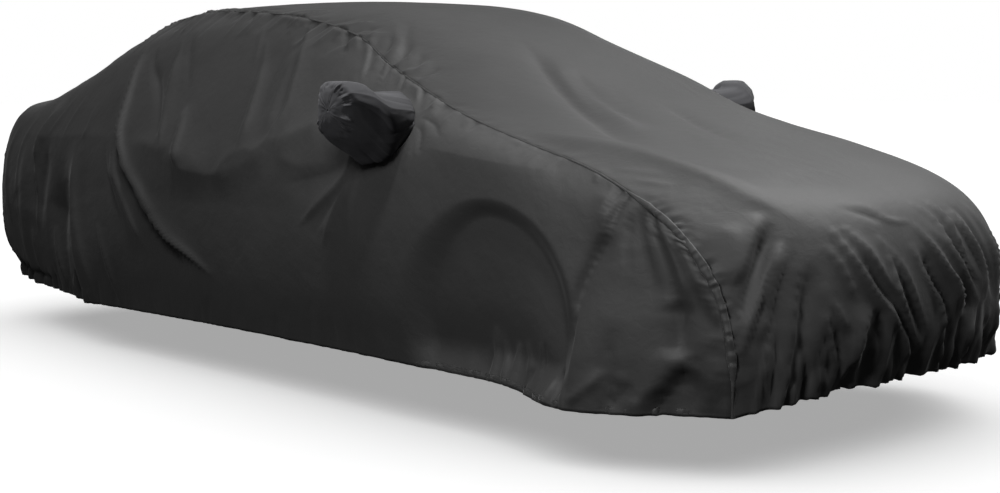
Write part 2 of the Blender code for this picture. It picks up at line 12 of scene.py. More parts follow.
import bpy
import numpy as np
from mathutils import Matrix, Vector


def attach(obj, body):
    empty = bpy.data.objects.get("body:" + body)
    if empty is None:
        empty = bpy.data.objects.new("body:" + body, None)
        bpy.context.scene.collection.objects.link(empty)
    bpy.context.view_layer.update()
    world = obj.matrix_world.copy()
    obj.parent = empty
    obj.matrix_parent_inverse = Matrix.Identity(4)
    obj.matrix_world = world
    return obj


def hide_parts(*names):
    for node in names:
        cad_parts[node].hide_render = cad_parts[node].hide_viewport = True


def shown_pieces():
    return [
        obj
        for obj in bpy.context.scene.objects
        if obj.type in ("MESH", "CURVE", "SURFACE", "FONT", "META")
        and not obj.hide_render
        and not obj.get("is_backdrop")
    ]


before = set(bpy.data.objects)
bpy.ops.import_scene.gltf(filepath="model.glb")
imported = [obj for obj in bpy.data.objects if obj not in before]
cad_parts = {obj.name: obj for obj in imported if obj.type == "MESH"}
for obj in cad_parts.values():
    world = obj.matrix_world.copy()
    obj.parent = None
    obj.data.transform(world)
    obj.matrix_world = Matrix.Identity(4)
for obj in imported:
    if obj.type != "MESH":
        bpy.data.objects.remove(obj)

bl_info = {
    "name": "Car cover",
    "version": (1, 0, 0),
    "blender": (4, 5, 0),
    "location": "3D View > Sidebar > Car cover",
    "description": "Makes a fitted car cover of sewn cloth panels with mirror pockets and an elastic hem",
    "category": "Add Mesh",
}

# ---------------------------------------------------------------------------------------------
# The shape of the cloth

# The top panel, a row for each station from the rear hem over the roof to the front hem.
# centre_x, centre_z: its middle line. right_x to left_z: its two edges, where the side panels are sewn on.
# bow, crown: how late between the middle and an edge the station turns back, and down.
TOP_COLUMNS = (
    "centre_x", "centre_z", "right_x", "right_y", "right_z", "left_x", "left_y", "left_z", "bow", "crown",
)
TOP = {
    "rear_hem": (-2.46, 0.27, -2.37, 0.69, 0.23, -2.37, 0.69, 0.23, 3.0, 2.0),
    "rear_low": (-2.55, 0.40, -2.46, 0.735, 0.365, -2.46, 0.735, 0.365, 3.0, 2.0),
    "rear_bumper": (-2.57, 0.55, -2.48, 0.745, 0.52, -2.48, 0.745, 0.52, 3.0, 2.0),
    "rear_plate": (-2.57, 0.72, -2.48, 0.74, 0.68, -2.48, 0.74, 0.68, 3.0, 2.0),
    "tail": (-2.54, 0.88, -2.45, 0.725, 0.83, -2.45, 0.725, 0.83, 2.8, 2.2),
    "deck_edge": (-2.46, 1.03, -2.37, 0.68, 0.975, -2.37, 0.68, 0.975, 2.6, 2.4),
    "deck_rear": (-2.31, 1.08, -2.23, 0.61, 1.035, -2.23, 0.61, 1.035, 2.4, 2.6),
    "deck": (-2.08, 1.145, -1.99, 0.57, 1.095, -1.99, 0.57, 1.095, 2.2, 3.0),
    "deck_front": (-1.75, 1.26, -1.65, 0.55, 1.22, -1.65, 0.55, 1.22, 2.0, 3.0),
    "rear_glass": (-1.36, 1.39, -1.28, 0.54, 1.36, -1.28, 0.54, 1.36, 2.0, 3.2),
    "rear_glass_top": (-0.95, 1.445, -0.90, 0.55, 1.42, -0.90, 0.55, 1.42, 2.0, 3.4),
    "roof_rear": (-0.50, 1.46, -0.48, 0.585, 1.415, -0.48, 0.585, 1.41, 2.0, 3.6),
    "roof": (0.00, 1.450, -0.05, 0.60, 1.375, -0.08, 0.60, 1.36, 2.0, 3.6),
    "roof_front": (0.36, 1.405, 0.26, 0.60, 1.305, 0.26, 0.59, 1.275, 2.0, 3.6),
    "screen_top": (0.66, 1.31, 0.48, 0.63, 1.205, 0.48, 0.62, 1.195, 2.0, 3.4),
    "screen": (0.94, 1.195, 0.76, 0.70, 1.12, 0.75, 0.70, 1.12, 2.0, 3.2),
    "screen_foot": (1.22, 1.085, 1.06, 0.75, 1.03, 1.03, 0.735, 1.00, 2.0, 3.0),
    "hood_rear": (1.50, 1.01, 1.38, 0.77, 0.95, 1.34, 0.74, 0.89, 2.0, 3.4),
    "hood": (1.80, 0.942, 1.68, 0.78, 0.88, 1.64, 0.75, 0.80, 2.2, 4.0),
    "hood_front": (2.07, 0.864, 1.90, 0.775, 0.79, 1.88, 0.75, 0.745, 2.4, 4.0),
    "hood_lip": (2.24, 0.785, 2.03, 0.765, 0.71, 2.02, 0.75, 0.665, 2.6, 3.0),
    "nose": (2.32, 0.67, 2.12, 0.75, 0.615, 2.10, 0.74, 0.57, 2.6, 2.2),
    "grille": (2.345, 0.52, 2.18, 0.735, 0.50, 2.13, 0.72, 0.47, 2.6, 2.0),
    "front_bumper": (2.335, 0.37, 2.215, 0.73, 0.35, 2.14, 0.71, 0.33, 2.6, 2.0),
    "front_hem": (2.29, 0.235, 2.21, 0.72, 0.185, 2.12, 0.69, 0.22, 2.6, 2.0),
}
STATIONS = list(TOP)
ROOF_HEIGHT = TOP["roof"][1]
REAR_CORNER = STATIONS.index("deck_edge")
FRONT_CORNER = STATIONS.index("hood_front")
LAST_STATION = len(STATIONS) - 1

# A side panel below its seam, a row for each station between its two upright seams.
# rail, belt, door, sill and hem are the levels that it passes on its way down.
SIDE_COLUMNS = (
    "rail_y", "rail_z", "belt_y", "belt_z", "door_y", "door_z", "sill_y", "sill_z",
    "hem_x", "hem_y", "hem_z",
)
SIDE_LEVEL_NAMES = ("rail", "belt", "door", "sill", "hem")
SIDE = {
    "deck_rear": (0.75, 0.985, 0.82, 0.86, 0.85, 0.65, 0.83, 0.42, -2.22, 0.765, 0.22),
    "deck": (0.755, 1.02, 0.845, 0.88, 0.885, 0.66, 0.875, 0.43, -1.98, 0.825, 0.21),
    "deck_front": (0.73, 1.12, 0.865, 0.90, 0.90, 0.66, 0.90, 0.42, -1.66, 0.87, 0.20),
    "rear_glass": (0.70, 1.24, 0.875, 0.91, 0.92, 0.67, 0.93, 0.42, -1.32, 0.90, 0.185),
    "rear_glass_top": (0.69, 1.28, 0.88, 0.905, 0.925, 0.67, 0.93, 0.42, -0.96, 0.90, 0.19),
    "roof_rear": (0.69, 1.28, 0.89, 0.885, 0.925, 0.66, 0.93, 0.42, -0.55, 0.90, 0.195),
    "roof": (0.70, 1.23, 0.885, 0.885, 0.925, 0.66, 0.93, 0.42, -0.10, 0.90, 0.20),
    "roof_front": (0.71, 1.17, 0.875, 0.905, 0.925, 0.66, 0.93, 0.42, 0.26, 0.90, 0.20),
    "screen_top": (0.74, 1.10, 0.86, 0.93, 0.92, 0.66, 0.93, 0.42, 0.52, 0.90, 0.20),
    "screen": (0.79, 1.03, 0.87, 0.90, 0.92, 0.66, 0.93, 0.42, 0.82, 0.90, 0.20),
    "screen_foot": (0.83, 0.96, 0.88, 0.85, 0.92, 0.65, 0.93, 0.42, 1.10, 0.90, 0.195),
    "hood_rear": (0.85, 0.89, 0.89, 0.79, 0.92, 0.62, 0.93, 0.41, 1.42, 0.90, 0.19),
    "hood": (0.83, 0.81, 0.86, 0.72, 0.895, 0.56, 0.93, 0.38, 1.76, 0.945, 0.17),
}
SIDE_LEVELS = 5
LEVELS = np.arange(SIDE_LEVELS + 1) / SIDE_LEVELS

# The hole for a mirror pocket: the block of the panel that is left out for it, as stations and as shares
# of the way down, and the ring's middle and half size in the same two measures. Then its half length and
# height in metres, and how fast the fine folds come in outside it.
HOLE_BLOCK = ((14.25, 15.25), (2 / 15, 0.4))
HOLE_CENTRE = (14.85, 0.27)
HOLE_HALF = (0.49, 0.155)
HOLE_LONG, HOLE_TALL, HOLE_CALM = 0.14, 0.105, 1.5

# The round hollow low on the front of each side panel: its middle, how far from it the cloth starts to
# sink and is down, the height where it has faded out, how much softer its rear edge is, its depth and
# how much deeper it gets downwards.
HOLLOW_X, HOLLOW_Z = 1.33, 0.35
HOLLOW_LIP, HOLLOW_FLOOR, HOLLOW_FOOT = 0.43, 0.37, 0.15
HOLLOW_SOFTNESS, HOLLOW_DEPTH, HOLLOW_LEAN = 0.14, 0.034, 0.05

# A mirror pocket, a row for each ring outwards from the hole: its distance from the cover's middle
# plane, its middle, half its length and height, how flat its sides are, from 1 for an oval to 0 for a
# box, and how much its upper front edge is bevelled.
POCKET_COLUMNS = ("out_y", "centre_x", "centre_z", "half_x", "half_z", "flatness", "bevel")
POCKET = {
    "elbow": (0.905, 0.738, 0.984, 0.138, 0.120, 0.90, 0.10),
    "housing": (0.945, 0.715, 1.013, 0.128, 0.119, 0.74, 0.25),
    "outer": (0.990, 0.693, 1.034, 0.108, 0.104, 0.62, 0.38),
    "tip": (1.020, 0.681, 1.042, 0.081, 0.080, 0.62, 0.40),
    "end": (1.032, 0.675, 1.043, 0.043, 0.044, 0.66, 0.40),
}

# The pocket's rows of points and its points for each one of the hole's ring. Then its cloth laid out flat,
# as a girth, counted from its front upwards, and a reach outwards.
POCKET_ROWS, POCKET_FINER = 72, 3
POCKET_GIRTH, POCKET_REACH = 0.80, 0.30

# How far the cloth runs straight out of the hole, how far its last ring bulges past the one before, the
# share of that one's size that it has, and the reach over which the folds die out there.
POCKET_NECK, POCKET_DOME, POCKET_OPEN, POCKET_TIP_CALM = 0.012, 0.002, 0.05, 0.03

# The pocket's folds, as fine folds, at a place round its girth and outwards.
POCKET_FOLDS = (
    (0.024, 0.020, 0.010, ((0.02, 0.165), (0.09, 0.185), (0.19, 0.195), (0.29, 0.185), (0.37, 0.160))),
    (0.014, 0.012, 0.003, ((0.050, 0.010), (0.075, 0.080), (0.085, 0.150), (0.080, 0.215))),
    (0.008, 0.012, -0.003, ((0.005, 0.005), (-0.005, 0.060), (-0.030, 0.120))),
    (0.034, 0.012, 0.011, ((-0.010, 0.215), (-0.045, 0.160), (-0.085, 0.100), (-0.115, 0.030))),
    (0.010, 0.024, -0.008, ((0.030, 0.190), (0.010, 0.130), (-0.020, 0.060))),
    (0.010, 0.014, 0.004, ((-0.010, 0.010), (-0.030, 0.060), (-0.060, 0.130))),
    (0.012, 0.016, 0.004, ((-0.090, 0.030), (-0.050, 0.110), (0.020, 0.190))),
    (0.010, 0.014, -0.003, ((-0.120, 0.040), (-0.080, 0.120), (-0.010, 0.200))),
    (0.010, 0.012, 0.004, ((-0.150, 0.020), (-0.130, 0.090), (-0.110, 0.160))),
    (0.012, 0.012, -0.006, ((-0.190, 0.010), (-0.180, 0.080), (-0.150, 0.150))),
    (0.012, 0.012, 0.010, ((-0.220, 0.010), (-0.225, 0.080), (-0.200, 0.160))),
    (0.010, 0.012, -0.002, ((0.100, 0.010), (0.120, 0.070), (0.150, 0.120))),
    (0.010, 0.012, 0.002, ((0.140, 0.010), (0.165, 0.080), (0.180, 0.150))),
    (0.012, 0.012, 0.008, ((0.230, 0.010), (0.240, 0.080), (0.225, 0.160))),
    (0.012, 0.012, -0.008, ((0.290, 0.010), (0.300, 0.080), (0.290, 0.150))),
    (0.012, 0.012, 0.008, ((0.350, 0.010), (0.360, 0.080), (0.345, 0.150))),
)

# Gathers round the pocket: from and to round its girth, where they start, and then as on a hem.
POCKET_GATHERS = {
    "foot": (-0.40, 0.40, 0.004, 0.016, 0.022, 0.006, 0.0040, 0.3),
    "end": (-0.40, 0.40, 0.205, 0.018, 0.022, 0.006, 0.0035, 0.3),
}

# Broad folds, a row each: the place (along, aside) that it runs from and the one that it runs to, how far
# its middle bends sideways, its width and its lift. A raised fold has a lift above 0 and a trough one
# below 0. On a side panel a place is X and the height.
RIGHT_FOLDS = (
    (-1.14, 1.26, -1.00, 0.84, -0.02, 0.050, 0.014),
    (-1.02, 0.92, -0.29, 0.41, -0.05, 0.040, 0.008),
    (-0.98, 0.80, -0.36, 0.38, -0.05, 0.055, -0.014),
    (-1.09, 0.84, -0.76, 0.47, -0.02, 0.040, 0.010),
    (-1.00, 1.22, -0.73, 0.88, 0.02, 0.045, -0.012),
    (-0.83, 1.25, -0.68, 0.86, 0.02, 0.040, 0.008),
    (-0.60, 1.06, -0.51, 0.78, 0.00, 0.035, 0.010),
    (-0.18, 1.22, -0.10, 0.88, 0.00, 0.040, 0.009),
    (0.00, 1.30, 0.06, 0.92, -0.03, 0.045, 0.012),
    (-1.72, 1.06, -1.84, 0.76, 0.01, 0.040, 0.014),
    (-1.68, 0.84, -1.77, 0.50, 0.00, 0.045, -0.010),
    (-1.36, 0.90, -1.28, 0.12, -0.04, 0.050, 0.018),
    (-1.52, 0.74, -1.50, 0.12, -0.03, 0.055, -0.016),
    (-1.95, 0.92, -1.98, 0.12, 0.02, 0.055, 0.014),
    (-0.97, 0.89, -0.25, 0.78, 0.02, 0.060, 0.010),
    (-0.27, 0.78, 0.13, 0.91, -0.02, 0.060, 0.010),
    (0.12, 0.91, 0.36, 1.00, 0.00, 0.045, 0.010),
    (0.66, 0.86, 0.36, 0.66, 0.00, 0.040, 0.007),
    (0.64, 0.80, 0.48, 0.58, 0.00, 0.038, 0.006),
    (0.62, 0.88, 0.26, 0.75, 0.02, 0.050, -0.005),
    (1.83, 0.74, 1.73, 0.28, -0.02, 0.050, -0.010),
    (1.88, 0.80, 2.05, 0.46, -0.01, 0.035, -0.012),
    (1.95, 0.78, 2.10, 0.50, 0.00, 0.035, 0.014),
    (2.05, 0.52, 2.06, 0.34, 0.00, 0.035, -0.022),
    (2.07, 0.42, 1.94, 0.17, 0.00, 0.042, 0.006),
    (2.12, 0.32, 2.02, 0.12, 0.00, 0.045, -0.020),
    (1.78, 0.84, 1.82, 0.66, 0.00, 0.030, 0.010),
)
LEFT_FOLDS = (
    (-1.20, 1.24, -1.02, 0.82, -0.02, 0.055, 0.022),
    (-1.05, 0.86, -0.42, 0.44, -0.04, 0.050, 0.022),
    (-0.90, 1.22, -0.72, 0.86, 0.01, 0.045, -0.012),
    (-1.66, 1.02, -1.78, 0.54, 0.01, 0.045, 0.014),
    (-1.44, 0.80, -1.40, 0.12, -0.02, 0.055, 0.016),
    (-1.90, 0.88, -1.94, 0.12, 0.02, 0.055, -0.014),
    (-0.80, 0.84, 0.05, 0.84, 0.03, 0.060, 0.010),
    (-0.10, 1.20, 0.00, 0.90, 0.00, 0.045, 0.010),
    (0.64, 0.86, 0.40, 0.60, 0.00, 0.040, 0.012),
    (1.78, 0.76, 1.70, 0.28, -0.02, 0.060, -0.018),
    (1.90, 0.74, 1.98, 0.30, 0.00, 0.045, 0.016),
    (2.02, 0.60, 1.88, 0.14, 0.00, 0.045, -0.018),
)

# On the top panel a place is a station number, counted from 0 at the rear hem, and Y.
TOP_FOLDS = (
    (20.0, -0.64, 21.5, -0.70, 0.00, 0.030, 0.008),
    (20.2, -0.57, 22.6, -0.65, 0.00, 0.030, -0.014),
    (20.7, -0.53, 22.8, -0.65, 0.00, 0.030, 0.012),
    (21.2, -0.49, 24.2, -0.56, 0.00, 0.034, -0.010),
    (21.4, -0.42, 23.8, -0.47, 0.00, 0.034, 0.009),
    (22.4, -0.40, 24.4, -0.40, 0.00, 0.030, -0.008),
    (22.0, -0.29, 24.2, -0.35, 0.00, 0.034, 0.012),
    (22.2, -0.21, 24.4, -0.25, 0.00, 0.034, -0.012),
    (20.6, -0.30, 22.8, -0.10, 0.00, 0.034, 0.009),
    (21.2, -0.03, 23.0, 0.10, 0.01, 0.030, -0.010),
    (20.5, 0.04, 22.9, 0.22, 0.01, 0.034, 0.010),
    (21.6, 0.22, 24.4, 0.25, 0.00, 0.030, -0.012),
    (20.3, 0.20, 22.6, 0.38, 0.01, 0.036, 0.011),
    (22.0, 0.40, 24.4, 0.44, 0.00, 0.034, -0.009),
    (20.4, 0.44, 23.6, 0.56, 0.01, 0.034, 0.010),
    (16.8, -0.72, 20.3, -0.46, -0.02, 0.060, 0.012),
    (14.3, -0.20, 18.0, -0.60, 0.02, 0.055, -0.016),
    (14.5, -0.12, 17.4, -0.46, 0.02, 0.040, 0.012),
    (14.9, -0.16, 17.3, -0.36, 0.00, 0.040, -0.013),
    (16.0, -0.04, 18.0, -0.20, 0.01, 0.034, -0.011),
    (15.6, 0.28, 17.6, 0.12, 0.00, 0.050, 0.008),
    (5.2, -0.36, 0.0, -0.28, 0.00, 0.050, 0.016),
    (4.6, -0.12, -0.4, -0.04, 0.00, 0.055, -0.014),
    (5.4, 0.22, -0.4, 0.34, 0.02, 0.050, 0.016),
    (4.2, 0.50, -0.4, 0.52, 0.00, 0.045, 0.014),
    (4.8, -0.56, -0.4, -0.50, 0.00, 0.045, -0.014),
    (9.4, -0.22, 6.8, -0.40, 0.00, 0.060, 0.010),
    (9.2, 0.18, 6.6, 0.34, 0.00, 0.060, 0.010),
)

# Fine folds, a row each: its width on the left and on the right of its crest, seen along it, its lift as
# above, and the places that the crest passes.
RIGHT_FINE = (
    (0.016, 0.010, 0.035, (
        (-1.17, 1.29), (-1.12, 1.18), (-1.08, 1.06), (-1.045, 0.94), (-1.00, 0.87), (-0.89, 0.77),
        (-0.795, 0.70), (-0.68, 0.60), (-0.565, 0.525), (-0.447, 0.48), (-0.35, 0.44), (-0.25, 0.39),
    )),
    (0.012, 0.030, -0.015, (
        (-1.09, 0.97), (-1.04, 0.86), (-0.93, 0.75), (-0.82, 0.65), (-0.64, 0.52), (-0.46, 0.42),
    )),
    (0.016, 0.009, 0.014, (
        (-1.11, 0.90), (-1.05, 0.78), (-0.98, 0.70), (-0.905, 0.62), (-0.84, 0.545), (-0.73, 0.43),
    )),
    (0.010, 0.030, -0.008, ((-1.15, 0.88), (-1.10, 0.76), (-1.02, 0.66), (-0.93, 0.56))),
    (0.010, 0.016, -0.014, ((-1.05, 1.27), (-1.00, 1.20), (-0.90, 1.12), (-0.815, 1.02), (-0.73, 0.90))),
    (0.020, 0.010, 0.016, (
        (-0.87, 1.31), (-0.83, 1.22), (-0.80, 1.14), (-0.775, 1.07), (-0.74, 0.995), (-0.70, 0.92),
        (-0.66, 0.86),
    )),
    (0.010, 0.014, -0.007, ((-0.81, 1.34), (-0.77, 1.27), (-0.71, 1.20), (-0.63, 1.09))),
    (0.018, 0.009, 0.012, ((-0.60, 1.02), (-0.565, 0.95), (-0.55, 0.89), (-0.52, 0.81))),
    (0.020, 0.009, 0.009, (
        (-0.25, 1.30), (-0.19, 1.20), (-0.155, 1.12), (-0.125, 1.00), (-0.115, 0.93), (-0.12, 0.87),
    )),
    (0.010, 0.010, 0.005, ((-0.32, 1.36), (-0.28, 1.28), (-0.25, 1.20))),
    (0.050, 0.012, 0.013, (
        (-0.05, 1.40), (0.00, 1.29), (0.04, 1.20), (0.06, 1.13), (0.09, 1.04), (0.075, 0.96), (0.05, 0.90),
    )),
    (0.030, 0.030, -0.006, ((-0.09, 1.30), (-0.08, 1.10), (-0.02, 0.96))),
    (0.012, 0.010, 0.003, ((0.42, 1.26), (0.385, 1.16), (0.40, 1.06))),
    (0.012, 0.010, 0.003, ((0.47, 1.22), (0.45, 1.12), (0.47, 1.06))),
    (0.008, 0.016, -0.010, ((0.19, 1.34), (0.22, 1.28), (0.25, 1.24))),
    (0.090, 0.045, 0.013, (
        (-0.97, 0.885), (-0.80, 0.885), (-0.68, 0.865), (-0.62, 0.88), (-0.53, 0.84), (-0.48, 0.80),
        (-0.38, 0.79), (-0.26, 0.785), (-0.20, 0.80), (-0.165, 0.845), (-0.08, 0.88), (0.01, 0.88),
        (0.11, 0.925), (0.175, 0.87), (0.235, 0.85), (0.32, 0.84), (0.48, 0.86),
    )),
    (0.060, 0.040, 0.007, ((-2.05, 0.90), (-1.75, 0.885), (-1.50, 0.90), (-1.30, 0.905), (-1.10, 0.90))),
    (0.030, 0.012, 0.016, (
        (-1.70, 1.03), (-1.76, 0.93), (-1.80, 0.84), (-1.80, 0.74), (-1.78, 0.62), (-1.80, 0.46),
    )),
    (0.022, 0.014, -0.006, ((-1.69, 0.86), (-1.73, 0.74), (-1.76, 0.62), (-1.75, 0.48))),
    (0.110, 0.200, -0.022, ((-1.68, 0.60), (-1.52, 0.58), (-1.36, 0.60))),
    (0.030, 0.110, 0.016, (
        (-1.42, 0.88), (-1.38, 0.74), (-1.35, 0.60), (-1.31, 0.45), (-1.26, 0.30), (-1.23, 0.18),
    )),
    (0.022, 0.012, 0.012, ((-1.16, 0.54), (-1.11, 0.42), (-1.07, 0.32), (-1.02, 0.20))),
    (0.024, 0.012, 0.011, ((-1.93, 0.98), (-2.00, 0.84), (-2.02, 0.66), (-2.00, 0.46))),
    (0.022, 0.012, 0.010, ((-2.10, 0.94), (-2.18, 0.72), (-2.15, 0.45))),
    (0.020, 0.014, -0.010, ((-2.24, 0.88), (-2.28, 0.68), (-2.24, 0.44))),
    (0.018, 0.008, 0.008, ((-1.62, 1.07), (-1.66, 0.98), (-1.72, 0.89))),
    (0.015, 0.008, 0.007, ((-1.50, 1.07), (-1.53, 0.98), (-1.56, 0.90))),
    (0.014, 0.008, 0.007, ((-1.36, 1.03), (-1.35, 0.95), (-1.37, 0.88))),
    (0.016, 0.020, 0.012, ((-1.62, 0.50), (-1.60, 0.36), (-1.55, 0.20))),
    (0.018, 0.014, -0.022, ((-2.30, 0.31), (-2.18, 0.275), (-2.02, 0.26), (-1.86, 0.255), (-1.72, 0.25))),
    (0.014, 0.020, 0.010, ((-1.86, 0.48), (-1.84, 0.34), (-1.80, 0.20))),
    (0.030, 0.020, -0.004, ((0.62, 0.86), (0.43, 0.81), (0.23, 0.77))),
    (0.050, 0.040, 0.007, ((0.98, 0.925), (1.15, 0.905), (1.35, 0.885), (1.58, 0.865))),
    (0.010, 0.018, 0.009, ((0.63, 0.85), (0.52, 0.76), (0.44, 0.70), (0.34, 0.63))),
    (0.010, 0.016, 0.008, ((0.62, 0.82), (0.55, 0.69), (0.49, 0.56))),
    (0.010, 0.010, -0.006, ((0.62, 0.82), (0.52, 0.71), (0.43, 0.60))),
    (0.012, 0.022, 0.009, ((0.66, 0.84), (0.63, 0.72), (0.63, 0.62))),
    (0.008, 0.012, 0.006, ((0.83, 1.03), (0.74, 1.13), (0.70, 1.19))),
    (0.008, 0.012, -0.008, ((0.84, 1.03), (0.79, 1.12), (0.76, 1.17))),
    (0.008, 0.010, 0.007, ((0.84, 1.02), (0.90, 1.06), (0.94, 1.08))),
    (0.008, 0.010, -0.008, ((0.86, 1.00), (0.92, 0.97), (0.96, 0.90))),
    (0.010, 0.014, 0.008, ((0.87, 0.98), (0.90, 0.91), (0.90, 0.84))),
    (0.010, 0.012, -0.007, ((0.87, 1.02), (0.96, 1.00), (1.02, 0.96))),
    (0.026, 0.014, -0.020, (
        (1.84, 0.79), (1.81, 0.69), (1.765, 0.57), (1.745, 0.46), (1.735, 0.34), (1.75, 0.18),
    )),
    (0.010, 0.014, -0.007, ((1.87, 0.76), (1.88, 0.68), (1.90, 0.58))),
    (0.010, 0.012, -0.008, ((1.84, 0.84), (1.80, 0.79), (1.79, 0.75))),
    (0.010, 0.012, -0.009, ((1.87, 0.84), (1.83, 0.77), (1.80, 0.69))),
    (0.010, 0.012, -0.008, ((1.92, 0.80), (1.95, 0.73), (1.96, 0.67))),
    (0.022, 0.009, -0.018, (
        (1.93, 0.79), (1.985, 0.665), (2.025, 0.57), (2.055, 0.475), (2.065, 0.40), (2.06, 0.34),
    )),
    (0.010, 0.030, 0.012, (
        (1.91, 0.79), (1.96, 0.67), (2.005, 0.57), (2.035, 0.475), (2.045, 0.40), (2.04, 0.35),
    )),
    (0.030, 0.010, 0.012, ((1.99, 0.75), (2.05, 0.66), (2.10, 0.57), (2.16, 0.49), (2.19, 0.44))),
    (0.012, 0.018, -0.010, ((2.01, 0.72), (2.05, 0.63), (2.12, 0.52), (2.16, 0.42))),
    (0.008, 0.024, 0.010, ((2.085, 0.36), (2.04, 0.295), (2.00, 0.25), (1.93, 0.17))),
    (0.010, 0.016, -0.020, ((2.10, 0.36), (2.07, 0.28), (2.02, 0.20), (1.98, 0.15))),
    (0.012, 0.012, -0.014, ((2.12, 0.40), (2.11, 0.28), (2.10, 0.16))),
    (0.014, 0.020, 0.012, ((2.18, 0.36), (2.16, 0.26), (2.13, 0.20))),
    (0.014, 0.016, -0.012, ((1.88, 0.42), (1.87, 0.32), (1.86, 0.16))),
    (0.016, 0.020, 0.012, ((1.87, 0.30), (1.81, 0.24), (1.75, 0.19))),
    (0.014, 0.014, -0.012, ((1.94, 0.27), (1.90, 0.21), (1.88, 0.15))),
    (0.016, 0.016, 0.008, ((1.70, 0.30), (1.66, 0.22), (1.64, 0.16))),
)
LEFT_FINE = (
    (0.026, 0.034, 0.020, ((-1.20, 1.24), (-1.12, 1.08), (-1.06, 0.92), (-1.02, 0.80), (-0.92, 0.68))),
    (0.022, 0.036, 0.020, ((-1.06, 0.86), (-0.92, 0.70), (-0.72, 0.56), (-0.50, 0.46))),
    (0.018, 0.026, -0.012, ((-0.96, 1.24), (-0.84, 1.06), (-0.76, 0.90))),
    (0.016, 0.022, 0.009, ((-0.60, 1.20), (-0.56, 1.04), (-0.50, 0.88))),
    (0.012, 0.030, 0.009, ((-0.10, 1.28), (-0.06, 1.10), (0.02, 0.92))),
    (0.050, 0.060, -0.018, ((-1.70, 0.90), (-1.66, 0.68), (-1.68, 0.40))),
    (0.024, 0.030, 0.014, ((-1.50, 0.80), (-1.42, 0.56), (-1.30, 0.26))),
    (0.024, 0.024, 0.012, ((-1.90, 0.94), (-1.96, 0.70), (-1.92, 0.40))),
    (0.016, 0.026, 0.012, ((0.62, 0.84), (0.48, 0.72), (0.34, 0.62))),
    (0.014, 0.020, 0.009, ((0.66, 0.82), (0.62, 0.70), (0.60, 0.58))),
    (0.008, 0.012, 0.008, ((0.83, 1.03), (0.76, 1.12), (0.72, 1.17))),
    (0.010, 0.014, -0.008, ((0.88, 0.99), (0.96, 0.94), (1.00, 0.88))),
    (0.026, 0.030, -0.018, ((1.80, 0.76), (1.74, 0.58), (1.72, 0.36), (1.74, 0.20))),
    (0.014, 0.024, 0.014, ((1.88, 0.70), (1.92, 0.56), (1.94, 0.40), (1.90, 0.24))),
    (0.012, 0.020, -0.016, ((1.94, 0.64), (2.00, 0.50), (2.02, 0.34), (1.98, 0.20))),
    (0.012, 0.024, 0.016, ((2.02, 0.40), (1.96, 0.26), (1.90, 0.16))),
)

